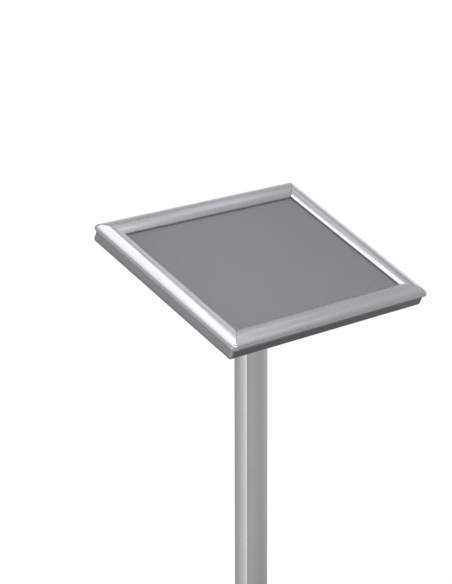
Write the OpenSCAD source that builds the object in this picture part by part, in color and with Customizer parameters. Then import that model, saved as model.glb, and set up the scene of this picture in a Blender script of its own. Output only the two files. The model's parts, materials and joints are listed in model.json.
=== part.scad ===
// Floor sign stand: a tilting, turning snap frame for one landscape A4 sheet on a bowed aluminium pole.
// The stand faces -Y, +X is the reader's right, and the origin is on the floor under the pole.
// Sections of the frame are drawn in (d, w): d runs inwards from the frame's outer edge,
// and w runs up from the plane of that edge, along the frame's normal.

/* [Display frame] */
// Long side of the paper sheet, lying across the stand
sheet_l = 297; // [210:1:420]
// Short side of the paper sheet
sheet_s = 210; // [148:1:297]
// Width of the snap rails seen from above
rail_w = 26; // [22:0.5:34]
// How far the rails lap over the sheet's margin
sheet_lap = 11; // [6:0.5:14]
// Radius of the rails' domed outer face
dome_r = 21.5; // [20:0.5:30]
// Wall thickness of the snap rails
rail_t = 1.5; // [1.2:0.1:2]
// Radius of the rolled outer lip of the rails
lip_r = 3.2; // [3:0.1:3.8]
// Depth from the rails' outer edge down to the hinge line
hinge_drop = 2.6; // [2:0.1:3.2]
// Radius of the hinge bead on the base profiles
bead_r = 1.5; // [1.2:0.05:1.6]
// How far a snap rail swings open
open_deg = 95; // [60:1:95]

/* [Base profiles] */
// Depth of the frame below the rails' outer edge
frame_depth = 20.3; // [18:0.1:26]
// Set-back of the side wall behind the rails' outer edge
wall_inset = 3.4; // [3:0.1:4.5]
// Wall thickness of the base profiles
wall_t = 1.5; // [1.2:0.1:1.8]
// Radius of the rounded lower edge
edge_r = 5; // [3:0.5:6]
// Width of the lower flange, from the frame's outer edge
flange_w = 27; // [25:0.5:36]
// Width of the sealed chamber that takes the corner keys, from the frame's outer edge
chamber_w = 20; // [17:0.5:21]
// Leg length of the corner keys
key_leg = 40; // [25:1:55]

/* [Sheets] */
// Thickness of the grey backing panel
backing_t = 2; // [1.5:0.1:2.5]
// Thickness of the clear cover sheet
cover_t = 0.5; // [0.3:0.1:0.8]
// Thickness of the steel back sheet
back_t = 1.5; // [1:0.1:2]

/* [Turntable and tilt head] */
// Tilt of the frame as it stands, from level
tilt = 25; // [10:1:45]
// Distance from the frame's outer edge plane back to the tilt axis
axis_back = 52; // [50:0.5:70]
// Radius of the turntable disc
disc_r = 55; // [50:1:70]
// Thickness of the turntable disc
disc_t = 3; // [2.5:0.5:4]
// Radius of the quarter-turn slot
slot_r = 30; // [29:0.5:36]
// Radius on which the turntable screws sit
screw_r = 45; // [40:0.5:48]
// Radius of the bracket's plate
plate_r = 38; // [36:0.5:46]
// Thickness of the bracket's plate and ears
bracket_t = 4; // [3:0.5:5]
// Radius of the ears and friction discs round the tilt axis
ear_r = 11; // [10:0.5:13]
// Width of the lug on the pole head
lug_w = 14; // [12:0.5:14]
// Thickness of the friction discs
friction_t = 1; // [0.8:0.1:1.5]
// Radius of the tilt and swivel bolts
bolt_r = 4; // [3:0.5:4]

/* [Pole and base] */
// Length of the pole
pole_len = 1000; // [600:10:1400]
// Pole width across its ridges
pole_w = 35; // [34:0.5:45]
// Pole depth across its ridges
pole_d = 20; // [18:0.5:26]
// How far the wide faces bow outwards
face_bow = 2.2; // [1:0.1:3]
// How far the narrow faces bow outwards
side_bow = 1; // [0.5:0.1:1.5]
// Wall thickness of the pole
pole_t = 1.8; // [1.5:0.1:2.2]
// Width and depth of the base plate
base_w = 290; // [280:5:340]
// Corner radius of the base plate
base_r = 40; // [20:1:60]
// Thickness of the base plate
base_t = 6; // [5:0.5:10]
// Chamfer round the top of the base plate
base_c = 1; // [0.5:0.5:2]
// Height of the rubber floor pads
pad_h = 2.5; // [1.5:0.5:5]
// Radius of the rubber floor pads
pad_r = 11; // [8:0.5:16]

/* [Hidden] */
$fn = 96;
arc_steps = 28;
cut = 1;

// Clearances.
hinge_gap = 0.08;
pivot_gap = 0.06;
slide_gap = 0.05;
hole_gap = 0.2;
rail_mitre_gap = 0.15;
profile_mitre_gap = 0.05;
foot_gap = 0.15;
spring_gap = 0.3;
key_gap = 0.1;
edge_gap = 0.3;

// Metric hardware.
m8_flat = 13;
m8_head = 5.3;
m8_nut = 8;
m8_washer_r = 7.5;
m8_washer_t = 1.6;
bolt_tail = 1.5;
m6_r = 3;
m6_head_r = 5;
m6_head = 6;
m6_grip = 22;
m6_key_r = 2.9;
m4_r = 2;
m4_head_r = 3.8;
m4_head = 2.8;
csk_depth = 3.2;
csk_r = 6;
rivet_r = 1.6;
rivet_head_r = 3.2;
rivet_head = 1.1;
rivet_tail_r = 2.4;
rivet_tail = 2.6;
pin_r = 2;
pin_clear = 0.5;
pin_at = 135;

// Frame outline.
frame_l = sheet_l + 2 * (rail_w - sheet_lap);
frame_s = sheet_s + 2 * (rail_w - sheet_lap);
hinge = [lip_r, -hinge_drop];
inner_edge = [rail_w, 0];

// Heights in the frame's own w direction, from the top down.
back_bottom = -frame_depth + wall_t;
back_top = back_bottom + back_t;
hook_clear = 0.4;
deck_top = -hinge_drop - lip_r - hook_clear;
deck_bottom = deck_top - wall_t;
shelf_bottom = deck_top;
shelf_top = shelf_bottom + wall_t;
backing_top = shelf_top + backing_t;
cover_top = backing_top + cover_t;
foot_bottom = cover_top + foot_gap;
disc_bottom = back_bottom - disc_t;
glide_t = 1;
glide_bottom = disc_bottom - glide_t;
plate_top = glide_bottom - slide_gap;
plate_bottom = plate_top - bracket_t;
lower_washer_top = plate_bottom - slide_gap;
nut_top = lower_washer_top - m8_washer_t;
bolt_end = nut_top - m8_nut - bolt_tail;

// Widths across the section.
arm_t = 1.2;
web_in = hinge[0] + lip_r + hook_clear + 2.2;
web_out = web_in - wall_t;
spring_t = 0.5;
spring_w = 18;
spring_d = web_in + 0.9;
fin_t = 1;
fin_d = spring_d - spring_gap - fin_t;
fin_drop = 2.4;
rib_t = 1.2;
rib_h = 2.2;
key_bevel = (edge_r - wall_t) * 0.3;
panel_d = rail_w - sheet_lap - 1.5;
rib_d = panel_d - edge_gap - rib_t;
sheet_d = rail_w - sheet_lap;
foot_t = 1.5;
shelf_end = rail_w - 0.5;
back_d = chamber_w + wall_t + 0.5;
rivet_d = (back_d + flange_w) / 2;
rivet_u = frame_l * 0.3;
rivet_v = frame_s * 0.21;
spring_share = 0.27;
tip_r = 2 * lip_r;
wall_corner_r = 3;
cap_leg = tip_r;
cap_gap = 0.1;
cap_foot = 4.2;
cap_crown = -0.8;

// Hook that wraps the hinge bead: it starts inside the bead and ends under its outer side.
hook_from = 30;
hook_to = 325 - open_deg;

// Tilt stack along X.
ear_in = lug_w / 2 + slide_gap + friction_t;
ear_out = ear_in + bracket_t;
ear_root = 17;
head_flange_t = 4;
lug_rise = 20;
lug_r = 10;
spigot_h = 6;
spigot_gap = 0.2;

// Pole section and heights.
port_r = 2.75;
port_wall = 1.5;
port_web = 1.6;
port_x = pole_w / 2 + side_bow - pole_t / 2 - port_r - port_wall;
pole_bottom = pad_h + base_t;
pole_top = pole_bottom + pole_len;
axis_z = pole_top + head_flange_t + lug_rise;
pad_inset = 30;

// Colours.
silver = [0.80, 0.81, 0.82];
profile_grey = [0.42, 0.42, 0.43];
panel_grey = [0.53, 0.56, 0.56];
steel = [0.66, 0.67, 0.68];
zinc = [0.72, 0.73, 0.74];
coated_grey = [0.62, 0.63, 0.64];
dark_plastic = [0.14, 0.14, 0.15];
nylon = [0.88, 0.87, 0.83];
clear = [0.85, 0.90, 0.92];

// ---------- helpers ----------

function arc_points(centre, radius, from, to, steps = arc_steps) =
    [for (i = [0:steps]) let (a = from + (to - from) * i / steps) centre + radius * [cos(a), sin(a)]];

function angle_of(v) = atan2(v[1], v[0]);

// Where two circles meet, on the left of the line from p to q.
function circles_meet(p, rp, q, rq) =
    let (
        gap = norm(q - p),
        along = (gap * gap + rp * rp - rq * rq) / (2 * gap),
        off = sqrt(rp * rp - along * along),
        dir = (q - p) / gap
    )
    p + along * dir + off * [-dir[1], dir[0]];

// Radius of the arc with a given chord and rise.
function bow_radius(chord, rise) = (chord * chord / 4 + rise * rise) / (2 * rise);

// From the frame's own axes to the stand's: the tilt axis carries the frame.
module in_frame() {
    translate([0, 0, axis_z]) rotate([tilt, 0, 0]) translate([0, 0, axis_back]) children();
}

// From the tilt head's axes to the stand's, with the tilt axis at the origin.
module in_head() {
    translate([0, 0, axis_z]) rotate([tilt, 0, 0]) children();
}

// Places a section drawn in (d, w) along one side of the frame. turn is 0 front, 90 right, 180 rear, 270 left.
module along_side(turn, side, across) {
    in_frame() rotate([0, 0, turn]) translate([0, -across / 2, 0])
        rotate([90, 0, 90]) translate([0, 0, -side / 2]) linear_extrude(side) children();
}

// Wedge that mitres a side at 45 degrees, cut back by gap from the mitre planes and swung about the hinge line.
module mitre_block(turn, side, across, gap, swing = 0) {
    half = side / 2 - gap * sqrt(2);
    in_frame() rotate([0, 0, turn]) translate([0, -across / 2, 0])
        translate([0, hinge[0], hinge[1]]) rotate([-swing, 0, 0]) translate([0, -hinge[0], -hinge[1]])
            translate([0, 0, -frame_depth - cut]) linear_extrude(frame_depth + 2 * rail_w)
                polygon([[-half - rail_w, -rail_w], [half + rail_w, -rail_w],
                         [half - 1.4 * rail_w, 1.4 * rail_w], [-half + 1.4 * rail_w, 1.4 * rail_w]]);
}

// What lies outside the rounded corners of a plan that is set in by inset from the frame's outline.
module beyond_corners(inset, r, low, high) in_frame()
    for (x = [0, 1], y = [0, 1]) mirror([x, 0, 0]) mirror([0, y, 0])
        translate([frame_l / 2 - inset - r, frame_s / 2 - inset - r, low]) difference() {
            cube([r + inset + cut, r + inset + cut, high - low]);
            translate([0, 0, -cut]) cylinder(r = r, h = high - low + 2 * cut);
        }

// The four corners of the frame, as square blocks that stand on a height.
module corner_zones(leg, low) in_frame()
    for (x = [0, 1], y = [0, 1]) mirror([x, 0, 0]) mirror([0, y, 0])
        translate([-frame_l / 2 - cut, -frame_s / 2 - cut, low]) cube([leg + cut, leg + cut, rail_w - low]);

// A hexagon with a given size across its flats, standing on the plane.
module hexagon(flats, height) {
    cylinder(r = flats / sqrt(3), h = height, $fn = 6);
}

module ring(outer, inner, height) {
    difference() {
        cylinder(r = outer, h = height);
        translate([0, 0, -cut]) cylinder(r = inner, h = height + 2 * cut);
    }
}

// ---------- pole and base ----------

module rounded_plan(w, r, h) {
    translate([-w / 2 + r, -w / 2, 0]) cube([w - 2 * r, w, h]);
    translate([-w / 2, -w / 2 + r, 0]) cube([w, w - 2 * r, h]);
    for (x = [-1, 1], y = [-1, 1]) translate([x * (w / 2 - r), y * (w / 2 - r), 0]) cylinder(r = r, h = h);
}

// The bevelled top: two prisms with sloping edges and a cone at each corner.
module bevel_cap(w, r, c) {
    slope = [[-w / 2, 0], [w / 2, 0], [w / 2 - c, c], [-w / 2 + c, c]];
    rotate([90, 0, 0]) linear_extrude(w - 2 * r, center = true) polygon(slope);
    rotate([90, 0, 90]) linear_extrude(w - 2 * r, center = true) polygon(slope);
    for (x = [-1, 1], y = [-1, 1])
        translate([x * (w / 2 - r), y * (w / 2 - r), 0]) cylinder(r1 = r, r2 = r - c, h = c);
}

module base_plate() color(coated_grey) translate([0, 0, pad_h]) difference() {
    union() {
        rounded_plan(base_w, base_r, base_t - base_c);
        translate([0, 0, base_t - base_c]) bevel_cap(base_w, base_r, base_c);
    }
    for (x = [-port_x, port_x]) translate([x, 0, 0]) {
        translate([0, 0, -cut]) cylinder(r = m6_r + hole_gap, h = base_t + 2 * cut);
        translate([0, 0, -cut]) cylinder(r = csk_r + hole_gap, h = cut);
        cylinder(r1 = csk_r + hole_gap, r2 = m6_r + hole_gap, h = csk_depth);
    }
}

module floor_pads() color(dark_plastic)
    for (x = [-1, 1], y = [-1, 1])
        translate([x * (base_w / 2 - pad_inset), y * (base_w / 2 - pad_inset), 0]) cylinder(r = pad_r, h = pad_h);

// Countersunk screws from below, up into the pole's screw ports.
module base_screws() color(steel)
    for (x = [-port_x, port_x]) translate([x, 0, pad_h]) difference() {
        union() {
            cylinder(r1 = csk_r, r2 = m6_r, h = csk_depth);
            cylinder(r = port_r - pivot_gap, h = base_t + m6_grip);
            cylinder(r = m6_r, h = base_t - hole_gap);
        }
        translate([0, 0, -cut]) cylinder(r = m6_key_r, h = cut + 2, $fn = 6);
    }

// Four bowed faces that meet in crisp ridges, inset for the inside of the tube.
module bowed_section(inset) {
    face_r = bow_radius(pole_w, face_bow);
    side_r = bow_radius(pole_d, side_bow);
    face_c = pole_d / 2 + face_bow - face_r;
    side_c = pole_w / 2 + side_bow - side_r;
    intersection() {
        translate([0, face_c]) circle(r = face_r - inset);
        translate([0, -face_c]) circle(r = face_r - inset);
        translate([side_c, 0]) circle(r = side_r - inset);
        translate([-side_c, 0]) circle(r = side_r - inset);
    }
}

module port_ring(radius) {
    for (x = [-port_x, port_x]) translate([x, 0]) circle(r = radius);
}

module pole_profile() {
    difference() {
        union() {
            difference() {
                bowed_section(0);
                bowed_section(pole_t);
            }
            intersection() {
                bowed_section(pole_t / 2);
                union() {
                    port_ring(port_r + port_wall);
                    for (x = [-port_x, port_x])
                        translate([x - port_web / 2, -pole_d / 2]) square([port_web, pole_d]);
                }
            }
        }
        port_ring(port_r);
    }
}

module pole() color(silver) translate([0, 0, pole_bottom]) linear_extrude(pole_len) pole_profile();

// Cast head: a cap with the pole's outline, a spigot between the ports, and the lug for the tilt axis.
module pole_head() color(zinc) {
    spigot_w = 2 * (port_x - port_r - port_wall - spigot_gap);
    spigot_d = pole_d - 2 * (pole_t + spigot_gap);
    difference() {
        union() {
            translate([0, 0, pole_top]) linear_extrude(head_flange_t) bowed_section(0);
            translate([-spigot_w / 2, -spigot_d / 2, pole_top - spigot_h])
                cube([spigot_w, spigot_d, spigot_h + cut]);
            translate([-lug_w / 2, -lug_r, pole_top + head_flange_t - cut])
                cube([lug_w, 2 * lug_r, lug_rise + cut]);
            translate([-lug_w / 2, 0, axis_z]) rotate([0, 90, 0]) cylinder(r = lug_r, h = lug_w);
        }
        translate([-lug_w / 2 - cut, 0, axis_z]) rotate([0, 90, 0])
            cylinder(r = bolt_r + pivot_gap, h = lug_w + 2 * cut);
        for (x = [-port_x, port_x]) translate([x, 0, pole_top - cut])
            cylinder(r = m6_r + hole_gap, h = head_flange_t + 2 * cut);
    }
}

module head_screws() color(steel)
    for (x = [-port_x, port_x]) translate([x, 0, pole_top]) difference() {
        union() {
            translate([0, 0, head_flange_t]) cylinder(r = m6_head_r, h = m6_head);
            cylinder(r = m6_r, h = head_flange_t + cut);
            translate([0, 0, -m6_grip + 4]) cylinder(r = port_r - pivot_gap, h = m6_grip);
        }
        translate([0, 0, head_flange_t + m6_head - 3]) cylinder(r = m6_key_r, h = 3 + cut, $fn = 6);
    }

// ---------- tilt head ----------

module ear(x0) {
    reach = axis_back + plate_bottom;
    translate([x0, 0, 0]) rotate([90, 0, 90]) difference() {
        linear_extrude(bracket_t) union() {
            circle(r = ear_r);
            polygon([[-ear_r, 0], [ear_r, 0], [ear_root, reach + cut], [-ear_root, reach + cut]]);
        }
        translate([0, 0, -cut]) cylinder(r = bolt_r + pivot_gap, h = bracket_t + 2 * cut);
    }
}

module tilt_bracket() color(zinc) in_head() {
    difference() {
        translate([0, 0, axis_back + plate_bottom]) cylinder(r = plate_r, h = bracket_t);
        translate([0, 0, axis_back + plate_bottom - cut])
            cylinder(r = bolt_r + pivot_gap, h = bracket_t + 2 * cut);
        rotate([0, 0, pin_at]) translate([slot_r, 0, axis_back + plate_bottom - cut])
            cylinder(r = pin_r + 0.02, h = bracket_t + 2 * cut);
    }
    ear(ear_in);
    ear(-ear_out);
}

module stop_pin() color(steel) in_head() rotate([0, 0, pin_at]) translate([slot_r, 0, axis_back + plate_bottom])
    cylinder(r = pin_r, h = back_bottom - pin_clear - plate_bottom);

module tilt_bolt() color(steel) in_head() rotate([0, 90, 0]) {
    head_at = ear_out + m8_washer_t;
    tail_at = -ear_out - m8_washer_t - m8_nut - bolt_tail;
    translate([0, 0, head_at]) hexagon(m8_flat, m8_head);
    translate([0, 0, tail_at]) cylinder(r = bolt_r, h = head_at - tail_at + cut);
}

module tilt_nut() color(steel) in_head() rotate([0, 90, 0])
    translate([0, 0, -ear_out - m8_washer_t - m8_nut]) difference() {
        hexagon(m8_flat, m8_nut);
        translate([0, 0, -cut]) cylinder(r = bolt_r + 0.02, h = m8_nut + 2 * cut);
    }

module tilt_washers() color(steel) in_head() rotate([0, 90, 0])
    for (z = [ear_out, -ear_out - m8_washer_t])
        translate([0, 0, z]) ring(m8_washer_r, bolt_r + hole_gap, m8_washer_t);

module friction_discs() color(dark_plastic) in_head() rotate([0, 90, 0])
    for (z = [ear_in - friction_t, -ear_in])
        translate([0, 0, z]) ring(lug_r, bolt_r + hole_gap, friction_t);

// ---------- turntable ----------

module turntable() color(steel) in_frame() translate([0, 0, disc_bottom]) difference() {
    cylinder(r = disc_r, h = disc_t);
    translate([0, 0, -cut]) cylinder(r = bolt_r + hole_gap, h = disc_t + 2 * cut);
    translate([0, 0, -cut]) quarter_slot(disc_t + 2 * cut);
    for (a = [0:90:270]) rotate([0, 0, a]) translate([screw_r, 0, -cut])
        cylinder(r = m4_r + 0.02, h = disc_t + 2 * cut);
}

// A quarter-round slot for the stop pin, open from 45 to 135 degrees.
module quarter_slot(height) {
    half = pin_r + 0.3;
    rotate([0, 0, 45]) rotate_extrude(angle = 90) translate([slot_r - half, 0]) square([2 * half, height]);
    for (a = [45, 135]) rotate([0, 0, a]) translate([slot_r, 0, 0]) cylinder(r = half, h = height);
}

module glide_disc() color(nylon) in_frame() translate([0, 0, glide_bottom])
    ring(slot_r - pin_r - 3, bolt_r + hole_gap, glide_t);

module swivel_bolt() color(steel) in_frame() {
    translate([0, 0, back_top + m8_washer_t]) hexagon(m8_flat, m8_head);
    translate([0, 0, bolt_end]) cylinder(r = bolt_r, h = back_top + m8_washer_t + cut - bolt_end);
}

module swivel_nut() color(steel) in_frame() translate([0, 0, nut_top - m8_nut]) difference() {
    hexagon(m8_flat, m8_nut);
    translate([0, 0, -cut]) cylinder(r = bolt_r + 0.02, h = m8_nut + 2 * cut);
}

module swivel_washers() color(steel) in_frame() for (z = [back_top, nut_top])
    translate([0, 0, z]) ring(m8_washer_r, bolt_r + hole_gap, m8_washer_t);

module turntable_screws() color(steel) in_frame() for (a = [0:90:270])
    rotate([0, 0, a]) translate([screw_r, 0, 0]) {
        translate([0, 0, back_top]) cylinder(r = m4_head_r, h = m4_head);
        translate([0, 0, disc_bottom]) cylinder(r = m4_r, h = back_top - disc_bottom + cut);
    }

// ---------- frame ----------

module at_rivets() {
    u = frame_l / 2 - rivet_d;
    v = frame_s / 2 - rivet_d;
    for (x = [-rivet_u, 0, rivet_u], s = [-1, 1]) translate([x, s * v, 0]) children();
    for (y = [-rivet_v, rivet_v], s = [-1, 1]) translate([s * u, y, 0]) children();
}

module back_sheet() color(steel) in_frame() difference() {
    translate([-frame_l / 2 + back_d, -frame_s / 2 + back_d, back_bottom])
        cube([frame_l - 2 * back_d, frame_s - 2 * back_d, back_t]);
    translate([0, 0, back_bottom - cut]) cylinder(r = bolt_r + hole_gap, h = back_t + 2 * cut);
    for (a = [0:90:270]) rotate([0, 0, a]) translate([screw_r, 0, back_bottom - cut])
        cylinder(r = m4_r + hole_gap, h = back_t + 2 * cut);
    at_rivets() translate([0, 0, back_bottom - cut]) cylinder(r = rivet_r + 0.05, h = back_t + 2 * cut);
}

module back_rivets() color(zinc) in_frame() at_rivets() {
    translate([0, 0, -frame_depth - rivet_head]) cylinder(r = rivet_head_r, h = rivet_head);
    translate([0, 0, -frame_depth - cut / 2]) cylinder(r = rivet_r, h = wall_t + back_t + cut);
    translate([0, 0, back_top]) cylinder(r = rivet_tail_r, h = rivet_tail);
}

// L-shaped keys that slide into the chambers of two neighbouring profiles.
module corner_keys() color(zinc) in_frame() for (sx = [0, 1], sy = [0, 1])
    mirror([sx, 0, 0]) mirror([0, sy, 0]) translate([-frame_l / 2, -frame_s / 2, 0]) {
        out = wall_inset + wall_t + key_gap + key_bevel;
        in = chamber_w - key_gap;
        bottom = back_bottom + key_gap + key_bevel;
        translate([out, out, bottom]) linear_extrude(deck_bottom - key_gap - bottom)
            polygon([[0, 0], [key_leg, 0], [key_leg, in - out], [in - out, in - out],
                     [in - out, key_leg], [0, key_leg]]);
    }

// Cast caps that carry the lip round each corner, clear of the rails' ends as they swing.
// A foot stands on the deck.
module corner_caps() color(silver) in_frame() for (sx = [0, 1], sy = [0, 1])
    mirror([sx, 0, 0]) mirror([0, sy, 0]) translate([cap_leg - frame_l / 2, cap_leg - frame_s / 2, 0])
        rotate([0, 0, 180]) difference() {
            rotate_extrude(angle = 90, $fn = 48) {
                intersection() {
                    translate([cap_leg - lip_r, hinge[1]]) circle(r = lip_r, $fn = 48);
                    translate([cap_leg - lip_r, hinge[1] - lip_r]) square([lip_r, 2 * lip_r]);
                }
                translate([0, hinge[1] - bead_r])
                    square([cap_leg - lip_r + bead_r, cap_crown - hinge[1] + bead_r]);
                translate([0, deck_top]) square([cap_leg - cap_foot, cap_crown - deck_top]);
            }
            translate([-cut, -cut, cap_crown])
                cube([cap_leg - lip_r + cap_gap + cut, cap_leg - lip_r + cap_gap + cut, rail_w]);
        }

module backing_panel() color(panel_grey) in_frame()
    translate([-frame_l / 2 + panel_d, -frame_s / 2 + panel_d, shelf_top])
        cube([frame_l - 2 * panel_d, frame_s - 2 * panel_d, backing_t]);

module cover_sheet() color(clear, 0.4) in_frame()
    translate([-frame_l / 2 + sheet_d, -frame_s / 2 + sheet_d, backing_top])
        cube([frame_l - 2 * sheet_d, frame_s - 2 * sheet_d, cover_t]);

// Base profile: rounded side wall, key chamber, sheet shelf, and the arm that carries the hinge bead.
module profile_section() {
    corner = [wall_inset + edge_r, -frame_depth + edge_r];
    difference() {
        polygon(concat(
            [[flange_w, -frame_depth], [flange_w, back_bottom], [chamber_w + wall_t, back_bottom],
             [chamber_w + wall_t, shelf_bottom], [shelf_end, shelf_bottom], [shelf_end, shelf_top],
             [rib_d + rib_t, shelf_top], [rib_d + rib_t, shelf_top + rib_h], [rib_d, shelf_top + rib_h],
             [rib_d, shelf_top], [web_in, shelf_top], [web_in, hinge[1] + arm_t / 2],
             [hinge[0], hinge[1] + arm_t / 2], [hinge[0], hinge[1] - arm_t / 2],
             [web_out, hinge[1] - arm_t / 2], [web_out, deck_top], [wall_inset, deck_top]],
            arc_points(corner, edge_r, 180, 270, 12)));
        polygon(concat(
            [[chamber_w, back_bottom], [chamber_w, shelf_bottom], [web_in, shelf_bottom],
             [web_in, deck_bottom], [wall_inset + wall_t, deck_bottom]],
            arc_points(corner, edge_r - wall_t, 180, 270, 12)));
    }
}

module base_profile(turn, side, across) color(profile_grey) difference() {
    intersection() {
        union() {
            along_side(turn, side, across) profile_section();
            along_side(turn, side, across) translate(hinge) circle(r = bead_r);
        }
        mitre_block(turn, side, across, profile_mitre_gap);
    }
    beyond_corners(wall_inset, wall_corner_r, -frame_depth - cut, deck_top + hook_clear / 2);
    corner_zones(cap_leg + cap_gap, deck_top + hook_clear / 2);
    in_frame() at_rivets() translate([0, 0, -frame_depth - cut])
        cylinder(r = rivet_r + 0.05, h = wall_t + 2 * cut);
}

// Leaf springs: a foot on the shelf and a leg that bears on the rail's fin.
module rail_springs(turn, side, across) color(steel)
    for (s = [-1, 1]) in_frame() rotate([0, 0, turn]) translate([s * side * spring_share, -across / 2, 0])
        rotate([90, 0, 90]) translate([0, 0, -spring_w / 2]) linear_extrude(spring_w)
            polygon([[rib_d - 0.2, shelf_top], [rib_d - 0.2, shelf_top + spring_t],
                     [spring_d + 1.1, shelf_top + spring_t], [spring_d + spring_t, shelf_top + 1.6],
                     [spring_d + spring_t, 0.4], [spring_d + 1, 1], [spring_d + 0.6, 1.3],
                     [spring_d, 0.6], [spring_d, shelf_top + 1.5], [spring_d + 0.7, shelf_top]]);

// Snap rail: a domed shell whose rolled lip hooks round the hinge bead.
module rail_section() {
    centre = circles_meet(inner_edge, dome_r, hinge, dome_r - lip_r);
    shell_r = dome_r - rail_t;
    joint = circles_meet(hinge, lip_r, centre, shell_r);
    lip_top = angle_of(hinge - centre);
    inner_top = angle_of(inner_edge - centre);
    under_from = angle_of(joint - centre);
    foot_in = rail_w - foot_t;
    under_to = acos((foot_in - centre[0]) / shell_r);
    polygon(concat(
        [[rail_w, foot_bottom]],
        arc_points(centre, dome_r, inner_top, lip_top),
        arc_points(hinge, lip_r, lip_top, hook_to, 16),
        [hinge],
        arc_points(hinge, lip_r, hook_from, angle_of(joint - hinge), 6),
        arc_points(centre, shell_r, under_from, under_to),
        [[foot_in, foot_bottom]]));
    translate([fin_d, hinge[1] + fin_drop - 0.6]) square([fin_t, shell_r + centre[1] - hinge[1] - fin_drop]);
}

// The second wedge trims the lip's ends so that they clear the neighbouring rails when the rail swings open.
module snap_rail(turn, side, across) color(silver) intersection() {
    difference() {
        along_side(turn, side, across) rail_section();
        along_side(turn, side + 2 * cut, across) translate(hinge) circle(r = bead_r + hinge_gap);
        beyond_corners(0, tip_r, -frame_depth, rail_w);
        intersection() {
            along_side(turn, side + 2 * cut, across) union() {
                translate(hinge) circle(r = lip_r + cap_gap);
                translate([-cut, -frame_depth]) square([lip_r - 0.6 + cut, frame_depth + rail_w]);
            }
            corner_zones(cap_leg + cap_gap, -frame_depth);
        }
    }
    mitre_block(turn, side, across, rail_mitre_gap);
    mitre_block(turn, side, across, rail_mitre_gap, open_deg);
}

base_plate();
floor_pads();
base_screws();
pole();
pole_head();
head_screws();
tilt_bracket();
tilt_bolt();
tilt_nut();
tilt_washers();
friction_discs();
stop_pin();
turntable();
glide_disc();
swivel_bolt();
swivel_nut();
swivel_washers();
turntable_screws();
back_sheet();
back_rivets();
corner_keys();
corner_caps();
backing_panel();
cover_sheet();
base_profile(0, frame_l, frame_s);  // base_profile_front
base_profile(180, frame_l, frame_s);  // base_profile_rear
base_profile(270, frame_s, frame_l);  // base_profile_left
base_profile(90, frame_s, frame_l);  // base_profile_right
rail_springs(0, frame_l, frame_s);  // rail_springs_front
rail_springs(180, frame_l, frame_s);  // rail_springs_rear
rail_springs(270, frame_s, frame_l);  // rail_springs_left
rail_springs(90, frame_s, frame_l);  // rail_springs_right
snap_rail(0, frame_l, frame_s);  // snap_rail_front
snap_rail(180, frame_l, frame_s);  // snap_rail_rear
snap_rail(270, frame_s, frame_l);  // snap_rail_left
snap_rail(90, frame_s, frame_l);  // snap_rail_right
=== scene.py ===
"""Looks of a floor sign stand: a tilting, turning snap frame for one landscape sheet on a bowed aluminium
pole.

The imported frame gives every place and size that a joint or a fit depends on. The classes below work out the
finer surfaces with numpy, in metres, in the stand's own axes: the reader stands at -Y, +X is the reader's
right, +Z is up. Sections of the snap frame are drawn in (d, w): d runs inwards from the frame's outer edge,
and w runs up from the plane of that edge along the frame's normal.
"""
import functools
import json
import logging
import math
from dataclasses import dataclass, field
from enum import Enum
from typing import Callable, ClassVar, Mapping, Sequence, Union

import bmesh
import bpy
import numpy as np
from mathutils import Matrix, Vector
from mathutils.geometry import tessellate_polygon


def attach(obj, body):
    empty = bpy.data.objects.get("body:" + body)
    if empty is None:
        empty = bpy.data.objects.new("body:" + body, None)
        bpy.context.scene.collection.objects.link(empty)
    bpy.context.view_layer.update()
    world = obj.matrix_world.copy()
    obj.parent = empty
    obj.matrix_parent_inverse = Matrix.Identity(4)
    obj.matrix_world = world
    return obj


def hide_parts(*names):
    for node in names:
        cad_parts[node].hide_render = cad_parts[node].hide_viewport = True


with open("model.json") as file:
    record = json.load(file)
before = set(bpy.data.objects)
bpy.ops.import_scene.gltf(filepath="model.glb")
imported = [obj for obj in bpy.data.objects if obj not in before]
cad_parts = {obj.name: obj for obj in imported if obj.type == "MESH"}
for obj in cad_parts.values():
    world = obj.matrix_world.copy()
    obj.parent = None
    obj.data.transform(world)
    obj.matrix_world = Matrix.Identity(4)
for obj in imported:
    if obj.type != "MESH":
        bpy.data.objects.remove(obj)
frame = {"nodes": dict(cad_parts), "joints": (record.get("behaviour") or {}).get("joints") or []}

log = logging.getLogger("sign_stand")
MM = 0.001
SCREW_CIRCLE = 45 * MM
WHITE = (1.0, 1.0, 1.0, 1.0)
WELD = 1e-6
HAIR = 1e-7
Array = np.ndarray
Socket = bpy.types.NodeSocket
Value = Union[float, Sequence[float], Socket]
Height = Union[float, Callable[[Array], Array]]


# ---------------------------------------------------------------- outlines

def bearing(vector: Array) -> float:
    """The direction of a plane vector, in degrees anticlockwise from the first axis."""
    return math.degrees(math.atan2(vector[1], vector[0]))


def arc(centre: Sequence[float], radius: float, start: float, end: float, count: int) -> Array:
    """Points on a circular arc: the centre plus the radius times the cosine and sine of evenly spaced angles.

    Args:
        centre: The circle's centre.
        radius: The circle's radius.
        start: The first angle, in degrees.
        end: The last angle, in degrees.
        count: How many points.

    Returns:
        An array of count by 2 points.
    """
    angle = np.radians(np.linspace(start, end, count))
    return np.asarray(centre) + radius * np.column_stack((np.cos(angle), np.sin(angle)))


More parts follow.
